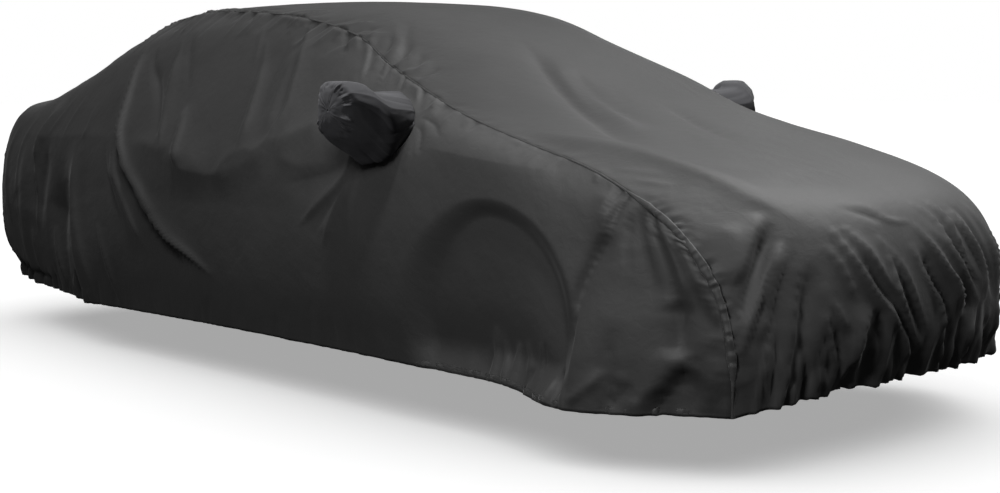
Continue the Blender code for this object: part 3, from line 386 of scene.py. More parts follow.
# On the top panel a place is a station number and Y.
TOP_FINE = (
    (0.010, 0.030, 0.018, ((20.0, -0.55), (20.7, -0.62), (21.5, -0.69))),
    (0.020, 0.012, -0.021, ((20.2, -0.54), (20.9, -0.60), (21.8, -0.67), (22.3, -0.69))),
    (0.010, 0.026, 0.026, ((20.7, -0.53), (21.3, -0.59), (21.8, -0.625), (22.3, -0.665), (22.9, -0.70))),
    (0.024, 0.010, -0.016, ((20.9, -0.51), (21.5, -0.56), (22.2, -0.60), (22.8, -0.63))),
    (0.010, 0.016, 0.016, ((21.2, -0.49), (22.1, -0.53), (23.0, -0.55), (24.0, -0.55))),
    (0.016, 0.010, -0.010, ((21.3, -0.47), (22.2, -0.505), (23.2, -0.52))),
    (0.012, 0.012, -0.010, ((22.4, -0.63), (23.2, -0.64), (23.9, -0.62))),
    (0.008, 0.014, 0.013, ((20.9, -0.40), (21.4, -0.36), (21.85, -0.33), (22.1, -0.31))),
    (0.008, 0.014, 0.012, ((22.0, -0.41), (22.4, -0.37), (22.7, -0.335))),
    (0.010, 0.016, 0.013, ((22.2, -0.445), (22.8, -0.41), (23.3, -0.38), (23.8, -0.37))),
    (0.010, 0.010, -0.010, ((22.5, -0.40), (23.1, -0.37), (23.7, -0.35))),
    (0.012, 0.020, 0.019, ((22.2, -0.25), (22.7, -0.29), (23.2, -0.31), (24.0, -0.33))),
    (0.014, 0.012, -0.017, ((22.3, -0.21), (22.8, -0.24), (23.4, -0.26), (24.0, -0.27))),
    (0.009, 0.020, 0.021, (
        (20.4, -0.37), (21.0, -0.335), (21.5, -0.29), (22.0, -0.235), (22.4, -0.17), (22.95, -0.09),
        (23.6, -0.03),
    )),
    (0.014, 0.009, -0.017, ((21.2, -0.29), (21.8, -0.225), (22.3, -0.15), (22.9, -0.07), (23.6, 0.0))),
    (0.008, 0.014, 0.013, ((20.5, -0.32), (21.1, -0.26), (21.7, -0.20), (22.15, -0.13))),
    (0.008, 0.010, 0.007, ((20.0, -0.24), (20.2, -0.17), (20.5, -0.13), (20.6, -0.08), (20.6, -0.02))),
    (0.008, 0.010, -0.007, ((20.1, -0.29), (20.35, -0.21), (20.6, -0.15))),
    (0.008, 0.014, 0.017, (
        (20.7, -0.20), (21.4, -0.17), (21.9, -0.14), (22.3, -0.11), (22.8, -0.06), (23.5, 0.02),
    )),
    (0.009, 0.012, -0.013, ((21.3, -0.14), (21.9, -0.105), (22.5, -0.05), (23.1, 0.02))),
    (0.008, 0.014, 0.014, ((21.0, -0.18), (21.55, -0.11), (21.95, -0.07), (22.35, -0.035), (22.9, 0.02))),
    (0.008, 0.014, 0.019, (
        (21.1, -0.06), (21.6, -0.01), (22.0, 0.04), (22.4, 0.09), (22.9, 0.12), (23.6, 0.14),
    )),
    (0.010, 0.010, -0.018, ((21.3, 0.00), (21.9, 0.05), (22.4, 0.12), (23.0, 0.15), (23.7, 0.17))),
    (0.008, 0.016, 0.021, (
        (20.6, -0.02), (21.2, 0.05), (21.65, 0.11), (21.95, 0.16), (22.4, 0.21), (22.9, 0.24),
    )),
    (0.012, 0.008, -0.017, ((21.0, 0.06), (21.6, 0.14), (22.1, 0.20), (22.6, 0.26), (23.3, 0.28))),
    (0.008, 0.014, 0.016, (
        (20.1, 0.04), (20.7, 0.11), (21.2, 0.14), (21.6, 0.20), (22.0, 0.26), (22.5, 0.33),
    )),
    (0.010, 0.008, -0.012, ((20.4, 0.11), (21.0, 0.16), (21.5, 0.22), (22.0, 0.29))),
    (0.008, 0.014, 0.016, ((20.1, 0.12), (20.6, 0.18), (21.1, 0.20), (21.55, 0.24), (22.0, 0.31))),
    (0.010, 0.008, -0.013, ((20.3, 0.18), (20.9, 0.23), (21.5, 0.29), (22.0, 0.35))),
    (0.009, 0.018, 0.019, ((20.2, 0.20), (20.8, 0.24), (21.4, 0.31), (21.9, 0.36), (22.5, 0.41))),
    (0.016, 0.010, -0.017, ((20.3, 0.25), (21.0, 0.35), (21.7, 0.42), (22.4, 0.47))),
    (0.009, 0.016, 0.017, ((20.2, 0.36), (20.8, 0.43), (21.6, 0.49), (22.4, 0.51))),
    (0.012, 0.010, -0.016, ((20.4, 0.44), (21.2, 0.52), (22.2, 0.55))),
    (0.010, 0.016, 0.016, ((20.6, 0.50), (21.4, 0.58), (22.4, 0.60))),
    (0.010, 0.010, -0.017, ((22.0, 0.21), (22.6, 0.235), (23.3, 0.23), (24.0, 0.23))),
    (0.008, 0.012, 0.016, ((22.5, 0.27), (23.1, 0.29), (24.0, 0.30))),
    (0.009, 0.009, -0.016, ((22.4, 0.33), (23.2, 0.34), (24.0, 0.34))),
    (0.010, 0.012, 0.013, ((22.4, 0.52), (23.2, 0.54), (24.0, 0.52))),
    (0.020, 0.030, -0.012, ((14.2, -0.18), (15.2, -0.29), (16.4, -0.42), (17.8, -0.60))),
    (0.014, 0.026, 0.008, ((14.6, -0.16), (15.6, -0.29), (16.6, -0.41))),
    (0.014, 0.024, -0.010, ((14.8, -0.13), (15.9, -0.26), (17.2, -0.38))),
    (0.008, 0.012, -0.005, ((15.6, -0.12), (16.3, -0.22))),
    (0.010, 0.020, -0.009, ((16.4, -0.04), (17.2, -0.14), (18.3, -0.24))),
    (0.010, 0.014, 0.005, ((17.3, -0.26), (18.0, -0.34), (18.6, -0.38))),
    (0.014, 0.020, -0.006, ((15.4, 0.30), (16.4, 0.20), (17.4, 0.12))),
    (0.012, 0.020, 0.007, ((13.0, -0.46), (13.5, -0.54), (13.9, -0.61))),
    (0.010, 0.016, -0.008, ((13.2, -0.44), (13.7, -0.53), (14.1, -0.60))),
    (0.013, 0.013, -0.013, ((13.75, -0.64), (13.65, -0.58), (13.35, -0.53))),
    (0.013, 0.013, 0.011, ((13.90, -0.64), (13.80, -0.58), (13.50, -0.52))),
    (0.013, 0.013, -0.014, ((14.05, -0.65), (14.00, -0.58), (13.70, -0.51))),
    (0.013, 0.013, 0.011, ((14.20, -0.65), (14.15, -0.59), (13.90, -0.52))),
    (0.013, 0.013, -0.014, ((14.35, -0.66), (14.35, -0.60), (14.15, -0.54))),
    (0.013, 0.013, 0.010, ((14.50, -0.67), (14.50, -0.61), (14.35, -0.56))),
    (0.013, 0.013, -0.013, ((14.65, -0.68), (14.70, -0.62), (14.60, -0.57))),
    (0.180, 0.060, 0.016, (
        (16.8, -0.70), (17.5, -0.66), (18.5, -0.60), (19.3, -0.56), (19.8, -0.52), (20.4, -0.44),
    )),
    (0.010, 0.010, 0.004, ((18.2, -0.74), (18.6, -0.66))),
    (0.010, 0.010, 0.004, ((18.5, -0.74), (18.9, -0.67))),
    (0.014, 0.020, 0.010, ((4.4, -0.34), (2.4, -0.30), (0.2, -0.26))),
    (0.014, 0.020, -0.009, ((4.2, -0.10), (2.2, -0.05), (0.2, -0.03))),
    (0.014, 0.020, 0.010, ((4.6, 0.24), (2.6, 0.30), (0.2, 0.33))),
    (0.014, 0.020, -0.008, ((3.6, 0.46), (1.8, 0.50), (0.2, 0.50))),
    (0.014, 0.018, -0.009, ((4.4, -0.52), (2.4, -0.50), (0.2, -0.48))),
    (0.016, 0.020, 0.008, ((3.2, 0.08), (1.6, 0.14), (0.1, 0.16))),
    (0.016, 0.030, 0.008, ((9.2, -0.22), (8.0, -0.32), (6.8, -0.40))),
    (0.016, 0.030, 0.008, ((9.0, 0.18), (7.8, 0.27), (6.6, 0.34))),
)

# Puckers along the seams, from a station to a station: their pitch, how far they reach from the seam,
# their width and lift, and how much they slant along it.
SEAM_PUCKERS = {
    "rear": (0.2, 5.0, 0.045, 0.060, 0.010, 0.0050, 0.2),
    "deck": (5.0, 9.0, 0.070, 0.050, 0.011, 0.0030, 0.5),
    "roof": (9.0, 13.0, 0.036, 0.080, 0.009, 0.0085, 0.8),
    "pillar": (13.0, 15.4, 0.022, 0.080, 0.0085, 0.0055, -0.7),
    "hood": (15.4, 18.6, 0.050, 0.050, 0.009, 0.0040, 0.5),
    "corner": (18.6, 22.4, 0.026, 0.034, 0.0085, 0.0034, 0.2),
    "front": (22.4, 23.9, 0.034, 0.050, 0.010, 0.0040, 0.0),
}

# Gathers at a side panel's elastic hem, from X to X: pitch, reach upwards, width, lift and lean.
SIDE_GATHERS = {
    "rear": (-2.30, -1.25, 0.036, 0.10, 0.012, 0.0120, 0.5),
    "middle": (-1.25, 1.25, 0.110, 0.12, 0.018, 0.0035, 0.6),
    "front": (1.25, 2.15, 0.036, 0.12, 0.012, 0.0140, 0.5),
}

# Gathers at the top panel's two hems, from Y to Y: station of the hem, and then as above.
TOP_GATHERS = {
    "front_long": (-0.66, 0.66, 24, 0.038, 0.22, 0.010, 0.0150, 0.5),
    "front_short": (-0.66, 0.66, 24, 0.026, 0.12, 0.008, 0.0100, 0.4),
    "rear": (-0.66, 0.66, 0, 0.055, 0.16, 0.013, 0.0090, 0.4),
}

# The distance from a seam over which the broad folds die out, and the one for the fine folds.
FOLD_CALM, FINE_CALM = 0.07, 0.010

# The share of a broad fold's length over which it fades at each end.
FOLD_ENDS = 0.25

# A crease's width at its two ends and how round its crest is, as shares of its width.
CREASE_SLIM, CREASE_ROUND = 0.35, 0.35

# A fine fold's width at its two ends, as a share of its width.
FINE_SLIM = 0.45

# The soft unevenness of the cloth: the size of its dents on the panels and on the pockets, and its height
# on the top panel and the pockets and on the side panels.
CRUMPLE_CELL, POCKET_CRUMPLE_CELL = 0.17, 0.07
CRUMPLE_HEIGHT, SIDE_CRUMPLE_HEIGHT = 0.0016, 0.0020

# How it is spread, on the top panel by station and on a side panel by X: the share that calm cloth has,
# and from where on and up to where it is full, each with the distance over which it comes in.
TOP_BUSY = (0.35, (19.8, 1.2), (5.0, 1.5))
SIDE_BUSY = (0.40, (1.7, 0.2), (-1.0, 0.3))

# The top panel's half width, for distances from its seams.
TOP_HALF_WIDTH = 0.7

# The front part of each long seam is drawn up: from a station to a station, eased over so many.
DRAWN_FROM, DRAWN_TO, DRAWN_EASE = 18.6, 23.6, 0.8

# The groove along a drawn-up seam: its height's scale, its half width, and the size and strength of the
# crumples in it beside its own depth.
GROOVE_HEIGHT, GROOVE_WIDTH, GROOVE_CELL, GROOVE_CRUMPLES, GROOVE_DEPTH = 0.0090, 0.024, 0.015, 1.3, 0.6

# The ridge of a seam and the casing of the elastic hem: width, height, and the step along them.
SEAM_RIDGE = (0.0075, 0.0030, 0.005)
HEM_CASING = (0.026, 0.0085, 0.0036)

# How far the ridge stands out, how far and over which length it sways in and out, and the station from
# which the sway grows, over how many, and from which share.
RIDGE_OUT, RIDGE_SWAY, RIDGE_SWAY_CELL = 0.0012, 0.0022, 0.02
SWAY_FROM, SWAY_EASE, SWAY_SHARE = 18.4, 0.6, 0.3

# How much wider and taller the drawn-up ridge is, how uneven the two are and over which lengths, and how
# uneven the ridge's height is elsewhere.
RUCHE_WIDE, RUCHE_WIDE_NOISE, RUCHE_WIDE_CELL = 2.4, 0.8, 0.03
RUCHE_TALL, RUCHE_TALL_NOISE, RUNG_CELL, RUNG_SHARE = 2.4, 3.0, 0.011, 0.25

# The seam at a pocket's foot against the ridge of a long seam: width and height as shares, and how far
# it stands out.
FOOT_WIDE, FOOT_TALL, FOOT_OUT = 1.2, 1.6, 0.002

# The casing's ruffles and pleats: height and length of each, how far inside the hem's edge the casing
# runs, and how far its middle is above that edge as a share of its width.
RUFFLE, RUFFLE_CELL, PLEAT, PLEAT_CELL = 0.32, 0.011, 0.0030, 0.017
HEM_INSIDE, HEM_RAISED = 0.006, 0.4

# A row of stitches beside a seam: distance from it, pitch, length of a stitch and its thickness, and how
# many stations before the hems it ends.
STITCH_PLACE, STITCH_PITCH, STITCH_LENGTH, STITCH_THICKNESS = 0.0075, 0.0065, 0.0046, 0.0010
STITCH_ENDS = 0.1

# How much of the sideways direction there is in a seam's outward one.
SEAM_ASIDE = 0.8

# Where the mesh is finer, on a side panel by X and on the top panel from a station to the front hem, the
# size of a cell there and elsewhere as shares of the panel's own, and the distance between the two sizes.
SIDE_FINE_FROM, SIDE_FINE_TO, SIDE_CELLS = 1.62, 2.2, (0.72, 1.12)
TOP_FINE_STATION, TOP_CELLS = 19.4, (0.75, 1.25)
CELL_EASE = 0.3

# The top panel's cells across: how many for each of its own on its half width, and how much closer
# together they are towards the seams.
CELLS_ACROSS, CROWDING = 1.9, 0.22

# Bands of a side panel between levels, as shares of the way down: where they end, beside the hole's
# edges, and about how tall each is.
BAND_ENDS, BAND_HEIGHTS = (0.2, 0.6, 0.8, 1.0), (0.14, 0.07, 0.32, 0.29, 0.24, 0.23)

# The seeds of the random numbers. A side's own seed is the one here plus its side, -1 or 1.
SEEDS = {
    "puckers": 5, "top_gathers": 11, "top_crumple": 21, "side_gathers": 31, "side_crumple": 41,
    "pocket_gathers": 61, "pocket_crumple": 67, "sway": 71, "rungs": 73, "ridge_width": 75,
    "ruffle": 81, "pleat": 83, "top_groove": 91, "side_groove": 95,
}

# The two sides by name, each as the sign of its Y.
SIDES = (("right", -1), ("left", 1))


def spline_weights(place, count):
    """How much each of count control points adds at places, where the first point is at place 0.

    The weights of a Catmull-Rom curve, which runs straight out at its two ends."""
    place = np.clip(place, 0, count - 1)
    first = np.minimum(place.astype(int), count - 2)
    t = place - first
    shares = [
        (-t + 2 * t**2 - t**3) / 2,
        (2 - 5 * t**2 + 3 * t**3) / 2,
        (t + 4 * t**2 - 3 * t**3) / 2,
        (-(t**2) + t**3) / 2,
    ]
    weights = np.zeros(place.shape + (count + 2,))
    for k, share in enumerate(shares):
        np.put_along_axis(weights, (first + k)[..., None], share[..., None], axis=-1)
    weights[..., 1] += 2 * weights[..., 0]
    weights[..., 2] -= weights[..., 0]
    weights[..., -2] += 2 * weights[..., -1]
    weights[..., -3] -= weights[..., -1]
    return weights[..., 1:-1]


def top_point(station, across):
    """The top panel's point: the middle line's, and from it out by |across| to the powers bow and crown."""
    rows = np.array(list(TOP.values()))
    values = spline_weights(station, len(rows)) @ rows
    value = dict(zip(TOP_COLUMNS, np.moveaxis(values, -1, 0)))
    out = np.abs(across)
    edge = [np.where(across < 0, value["right_" + k], value["left_" + k]) for k in "xyz"]
    x = value["centre_x"] + (edge[0] - value["centre_x"]) * out ** value["bow"]
    z = value["centre_z"] + (edge[2] - value["centre_z"]) * out ** value["crown"]
    return np.stack([x, edge[1] * across, z], axis=-1)


def seam_point(station, side):
    """The seam's point at a station number, on the side -1 for the right one or 1 for the left one."""
    return top_point(station, np.full_like(station, side))


def rear_seam(down, side):
    """The upright rear seam's point, down from 0 at the corner to 1 at the hem."""
    return seam_point(REAR_CORNER * (1 - down), side)


def front_seam(down, side):
    """The upright front seam's point, down from 0 at the corner to 1 at the hem."""
    return seam_point(FRONT_CORNER + (LAST_STATION - FRONT_CORNER) * down, side)


def side_net(side):
    """A side panel's control points, as stations by levels by X, Y and Z."""
    columns = [rear_seam(LEVELS, side)]
    for name, row in SIDE.items():
        value = dict(zip(SIDE_COLUMNS, row))
        x, y, z = seam_point(np.array(float(STATIONS.index(name))), side)
        column = [(x, y, z)]
        for level in SIDE_LEVEL_NAMES:
            level_z = value[level + "_z"]
            share = (z - level_z) / (z - value["hem_z"])
            column.append((x + (value["hem_x"] - x) * share, side * value[level + "_y"], level_z))
        columns.append(np.array(column))
    columns.append(front_seam(LEVELS, side))
    return np.array(columns)


def side_point(station, down, side):
    """A side panel's point: a smooth sheet through the control points, drawn to the seams near them."""
    net = side_net(side)

    def sheet(at, depth):
        along = spline_weights(at - REAR_CORNER, net.shape[0])
        downwards = spline_weights(depth * SIDE_LEVELS, net.shape[1])
        return np.einsum("...ij,...j->...i", np.einsum("...i,ijk->...kj", along, net), downwards)

    rear = np.full_like(station, REAR_CORNER)
    front = np.full_like(station, FRONT_CORNER)
    top = np.zeros_like(down)
    near_rear = np.clip(1 - (station - REAR_CORNER) / 2, 0, 1)[..., None] ** 2
    near_front = np.clip(1 - (FRONT_CORNER - station) / 2, 0, 1)[..., None] ** 2
    near_top = np.clip(1 - down * SIDE_LEVELS, 0, 1)[..., None] ** 2
    near_top = near_top * (1 - near_rear) * (1 - near_front)
    point = sheet(station, down)
    point += (rear_seam(down, side) - sheet(rear, down)) * near_rear
    point += (front_seam(down, side) - sheet(front, down)) * near_front
    point += (seam_point(station, side) - sheet(station, top)) * near_top
    return point


def ramp(value):
    """0 up to 0, 1 from 1 on and an even curve between."""
    value = np.clip(value, 0, 1)
    return value * value * (3 - 2 * value)


def along_and_off(row, a, b):
    """How far along a fold's row a place is, from 0 to 1, and its distance from the bent line.

    a and b are the place less the one that the fold runs from."""
    from_along, from_aside, to_along, to_aside, bend = row[:5]
    run, rise = to_along - from_along, to_aside - from_aside
    length = np.hypot(run, rise)
    ahead = (a * run + b * rise) / length**2
    return ahead, (b * run - a * rise) / length - 4 * bend * ahead * (1 - ahead)


def fold_height(folds, along, aside):
    """The broad folds' heights where a panel laid out flat is at along and aside.

    Each is lift times exp(-(distance from its line / width) ** 1.6), faded in and out over its ends."""
    height = np.zeros_like(along)
    for row in folds:
        *_, width, lift = row
        ahead, off = along_and_off(row, along - row[0], aside - row[1])
        ends = ramp(ahead / FOLD_ENDS) * ramp((1 - ahead) / FOLD_ENDS)
        height += lift * ends * np.exp(-(np.abs(off / width) ** 1.6))
    return height


def crease_height(creases, along, aside):
    """The creases' heights: lift times exp(-distance / width), round at the crest and slim at both ends."""
    height = np.zeros_like(along)
    for row in creases:
        *_, width, lift = row
        reach = np.hypot(row[2] - row[0], row[3] - row[1]) + 4 * width
        near = (np.abs(along - row[0]) < reach) & (np.abs(aside - row[1]) < reach)
        ahead, off = along_and_off(row, along[near] - row[0], aside[near] - row[1])
        middle = np.clip(4 * ahead * (1 - ahead), 0, 1)
        wide = width * (CREASE_SLIM + (1 - CREASE_SLIM) * middle)
        away = np.sqrt(off**2 + (CREASE_ROUND * wide) ** 2) - CREASE_ROUND * wide
        height[near] += lift * middle**0.7 * np.exp(-away / wide)
    return height


def run_at(station):
    """How far along the top panel's middle line a station is, and straight on past both hems."""
    middle = np.array(list(TOP.values()))[:, :2]
    steps = np.hypot(*np.diff(middle, axis=0).T)
    runs = np.concatenate([[0], np.cumsum(steps)])
    spare = np.minimum(station, 0) + np.maximum(station - LAST_STATION, 0)
    return np.interp(station, np.arange(LAST_STATION + 1), runs) + steps[-1] * spare


def in_runs(folds):
    """The top panel's folds, with their station numbers turned into runs."""
    folds = np.array(folds)
    folds[:, 0] = run_at(folds[:, 0])
    folds[:, 2] = run_at(folds[:, 2])
    return folds


def drawn_up(station):
    """How much the front end of a seam is drawn up at a station number, from 0 to 1."""
    return ramp((station - DRAWN_FROM) / DRAWN_EASE) * ramp((DRAWN_TO - station) / DRAWN_EASE)


def seam_crumples(station, run, from_seam, seed):
    """The heights of a groove along the drawn-up part of a seam, with small uneven crumples in it."""
    near = np.exp(-((from_seam / GROOVE_WIDTH) ** 2))
    crumples = GROOVE_CRUMPLES * lattice_noise(run, from_seam, GROOVE_CELL, seed)
    return GROOVE_HEIGHT * drawn_up(station) * near * (crumples - GROOVE_DEPTH)


def lattice_noise(along, aside, cell, seed):
    """Smooth noise from -1 to 1: random numbers on a lattice, a cell apart, blended by even curves."""
    rng = np.random.default_rng(seed)
    table = rng.uniform(-1, 1, (256, 256))
    a, b = along / cell + 90, aside / cell + 90
    i, j = np.floor(a).astype(int), np.floor(b).astype(int)
    u, v = ramp(a - i), ramp(b - j)
    i, j = i % 255, j % 255
    low = table[i, j] * (1 - u) + table[i + 1, j] * u
    high = table[i, j + 1] * (1 - u) + table[i + 1, j + 1] * u
    return low * (1 - v) + high * v


def line_noise(run, cell, seed):
    """The same noise along a line."""
    return lattice_noise(run, 0 * run, cell, seed)


def crumple(along, aside, cell, seed):
    """Soft dents with sharper ridges between them: 1 - 2 |noise|, at two sizes and on a skewed lattice."""
    u, v = along + 0.45 * aside, aside - 0.3 * along
    large = 1 - 2 * np.abs(lattice_noise(u, v, cell, seed))
    small = 1 - 2 * np.abs(lattice_noise(v, u, cell * 0.47, seed + 1))
    return 0.7 * large + 0.3 * small


def busy(place, calm, front, rear):
    """How uneven the cloth is at a place: calm's share between the front and the rear, and 1 past them."""
    ends = ramp((place - front[0]) / front[1]) + ramp((rear[0] - place) / rear[1])
    return calm + (1 - calm) * ends


def path_height(folds, along, aside):
    """The heights of fine folds: lift times exp(-(distance from a smooth line / width) ** 1.2).

    A fine fold is slim at its ends."""
    height = np.zeros_like(along)
    for before, after, lift, places in folds:
        shares = np.linspace(0, 1, 10 * len(places))
        line = spline_weights(shares * (len(places) - 1), len(places)) @ np.array(places, dtype=float)
        margin = 3 * max(before, after)
        low, high = line.min(axis=0) - margin, line.max(axis=0) + margin
        near = (along > low[0]) & (along < high[0]) & (aside > low[1]) & (aside < high[1])
        place = np.stack([along[near], aside[near]], axis=-1)[:, None]
        start, step = line[:-1], np.diff(line, axis=0)
        ahead = np.clip(((place - start) * step).sum(axis=-1) / (step**2).sum(axis=-1), 0, 1)
        off = place - start - step * ahead[..., None]
        nearest = np.hypot(off[..., 0], off[..., 1]).argmin(axis=1)
        pick = (np.arange(len(nearest)), nearest)
        distance = np.hypot(off[pick][:, 0], off[pick][:, 1])
        turn = step[nearest, 0] * off[pick][:, 1] - step[nearest, 1] * off[pick][:, 0]
        share = (nearest + ahead[pick]) / len(step)
        slim = np.clip(4 * share * (1 - share), 0, 1)
        width = np.where(turn > 0, before, after) * (FINE_SLIM + (1 - FINE_SLIM) * slim)
        height[near] += lift * slim**0.7 * np.exp(-((distance / width) ** 1.2))
    return height


def gathers(rng, first, last, foot, rise, pitch, reach, width, lift, lean):
    """Creases that leave a gathered edge between two places, at uneven distances of about a pitch.

    foot is where the edge is, and rise is 1 or -1 for creases that go up or down from it."""
    creases = []
    at = first
    while at < last:
        at += pitch * rng.uniform(0.5, 1.5)
        long = reach * rng.uniform(0.4, 1.5)
        creases.append((
            at, foot - 0.5 * rise * long, at + lean * long * rng.uniform(-1, 1), foot + rise * long,
            0.08 * long * rng.uniform(-1, 1), width * rng.uniform(0.7, 1.4),
            lift * rng.uniform(0.4, 1.3) * rng.choice([-1, 1]),
        ))
    return creases


def seam_run(number, side):
    """How far along its seam a station number is, from the rear hem."""
    numbers = np.linspace(0, LAST_STATION, 600)
    steps = np.linalg.norm(np.diff(seam_point(numbers, side), axis=0), axis=1)
    return np.interp(number, numbers, np.concatenate([[0], np.cumsum(steps)]))


def puckers(side):
    """Short creases across a seam, at uneven distances: a place is a run along it and a distance from it.

    The distance is above 0 on the top panel and below 0 on the side panel."""
    rng = np.random.default_rng(SEEDS["puckers"] + side)
    creases = []
    for first, last, pitch, reach, width, lift, slant in SEAM_PUCKERS.values():
        at, end = seam_run(first, side), seam_run(last, side)
        while at < end:
            at += pitch * rng.uniform(0.4, 1.7)
            above, below = reach * rng.uniform(0.3, 1.4, 2)
            lean = slant + rng.uniform(-0.4, 0.4)
            creases.append((
                at - lean * below, -below, at + lean * above, above,
                rng.uniform(-0.08, 0.08) * reach, width * rng.uniform(0.7, 1.3),
                lift * rng.uniform(0.5, 1.3) * rng.choice([-1, 1, 1]),
            ))
    return creases


def normals_of(points, flip):
    """The unit normals of a grid of points, square to its two directions."""
    normal = flip * np.cross(np.gradient(points, axis=0), np.gradient(points, axis=1))
    return normal / np.maximum(np.linalg.norm(normal, axis=-1, keepdims=True), 1e-12)


def seam_steps(side, first, last, pitch):
    """Station numbers from first to last that are about a pitch apart along the seam."""
    numbers = np.linspace(first, last, 400)
    runs = seam_run(numbers, side)
    count = int(round((runs[-1] - runs[0]) / pitch))
    return np.interp(np.linspace(runs[0], runs[-1], count + 1), runs, numbers)


# ---------------------------------------------------------------------------------------------
# Sheets, each as a grid of points


def uneven_steps(first, last, fine_from, fine_to, fine, coarse):
    """Distances from first to last, a fine step apart between two of them and a coarse one elsewhere."""
    places = np.linspace(first, last, 2000)
    is_fine = ramp((places - fine_from) / CELL_EASE + 1) * ramp((fine_to - places) / CELL_EASE + 1)
    pitch = fine + (coarse - fine) * (1 - is_fine)
    turns = np.concatenate([[0], np.cumsum(np.diff(places) / pitch[1:])])
    return np.interp(np.linspace(0, turns[-1], int(round(turns[-1])) + 1), turns, places)


def raised(points, flip, height):
    """The points, moved out along their grid's normals."""
    return points + normals_of(points, flip) * height[..., None]


def top_cloth(station, across, strength, fine):
    """The top panel's points at a grid of places, with its folds, puckers at the seams and gathers."""
    points = top_point(station, across)
    run, y = run_at(station), points[..., 1]
    folds = fold_height(in_runs(TOP_FOLDS), run, y)
    from_seam = (1 - np.abs(across)) * TOP_HALF_WIDTH
    points = raised(points, 1, strength * folds * ramp(from_seam / FOLD_CALM))

    rows = []
    for *sizes, places in TOP_FINE:
        rows.append((*sizes, [(run_at(place), aside) for place, aside in places]))
    height = path_height(rows, run, y)
    rng = np.random.default_rng(SEEDS["top_gathers"])
    for first, last, foot, *sizes in TOP_GATHERS.values():
        creases = gathers(rng, first, last, run_at(foot), 1 if foot == 0 else -1, *sizes)
        height += crease_height(creases, y, run)
    for side in (-1, 1):
        half = y * side > 0
        run_here, away = seam_run(station[half], side), from_seam[half]
        height[half] += crease_height(puckers(side), run_here, away)
        height[half] += seam_crumples(station[half], run_here, away, SEEDS["top_groove"] + side)
    height += CRUMPLE_HEIGHT * busy(station, *TOP_BUSY) * crumple(run, y, CRUMPLE_CELL, SEEDS["top_crumple"])
    return raised(points, 1, fine * height * ramp(from_seam / FINE_CALM))


@functools.cache
def top_grid(cell, strength, fine):
    """The top panel's grid of points, and the flat places of its points."""
    numbers = np.linspace(0, LAST_STATION, 500)
    last = run_at(LAST_STATION)
    fine_cell, coarse_cell = (share * cell for share in TOP_CELLS)
    runs = uneven_steps(0, last, run_at(TOP_FINE_STATION), last, fine_cell, coarse_cell)
    station = np.interp(runs, run_at(numbers), numbers)
    across = np.linspace(-1, 1, int(round(CELLS_ACROSS * TOP_HALF_WIDTH / cell)) + 1)
    across = (1 + CROWDING) * across - CROWDING * across**3
    station, across = np.meshgrid(station, across, indexing="ij")
    points = top_cloth(station, across, strength, fine)
    return points, np.stack([run_at(station), across * TOP_HALF_WIDTH], axis=-1)


def side_places(side, cell):
    """The places of a side panel's grid, drawn in round the pocket's hole, and the hole's block of cells.

    reach is how far a place is from the hole's middle, where the ring round the hole is at 1."""
    numbers = np.linspace(REAR_CORNER, FRONT_CORNER, 500)
    seam_x = seam_point(numbers, side)[:, 0]
    (first, last), (top, foot) = HOLE_BLOCK
    stations = [REAR_CORNER, first, last, FRONT_CORNER]
    edges = np.interp(stations, numbers, seam_x)
    fine_cell, coarse_cell = (share * cell for share in SIDE_CELLS)
    station = []
    for k, (a, b) in enumerate(zip(edges, edges[1:])):
        steps = uneven_steps(a, b, SIDE_FINE_FROM, SIDE_FINE_TO, fine_cell, coarse_cell)
        station.append(np.interp(steps, seam_x, numbers)[(k > 0):])
    station = np.concatenate(station)
    levels = sorted((0, top, foot, *BAND_ENDS))
    down = [np.zeros(1)]
    for a, b, tall in zip(levels, levels[1:], BAND_HEIGHTS):
        count = max(int(round(tall / cell)), 2)
        down.append(np.linspace(a, b, count + 1)[1:])
    down = np.concatenate(down)
    hole_i = [int(np.argmin(np.abs(station - value))) for value in (first, last)]
    hole_j = [int(np.argmin(np.abs(down - value))) for value in (top, foot)]
    station, down = np.meshgrid(station, down, indexing="ij")

    a = (station - (first + last) / 2) / ((last - first) / 2)
    b = (down - (top + foot) / 2) / ((foot - top) / 2)
    reach = np.maximum(np.abs(a), np.abs(b))
    away = np.maximum(np.hypot(a, b), 1e-9)
    pull = np.clip(2 - reach, 0, 1)
    ring_station = HOLE_CENTRE[0] + HOLE_HALF[0] * reach * a / away
    ring_down = HOLE_CENTRE[1] + HOLE_HALF[1] * reach * b / away
    station = station + (ring_station - station) * pull
    down = down + (ring_down - down) * pull
    return station, down, reach, hole_i, hole_j


def hollow_depth(x, z):
    """How deep the round hollow is at a place on a side panel."""
    lip = HOLLOW_LIP - HOLLOW_FLOOR + HOLLOW_SOFTNESS * ramp((HOLLOW_X - x) / HOLLOW_LIP)
    sunk = ramp((HOLLOW_LIP - np.hypot(x - HOLLOW_X, z - HOLLOW_Z)) / lip)
    sunk = sunk * ramp((z - HOLLOW_FOOT) / HOLLOW_FOOT)
    return sunk * (HOLLOW_DEPTH + HOLLOW_LEAN * (HOLLOW_Z + HOLLOW_LIP - z))


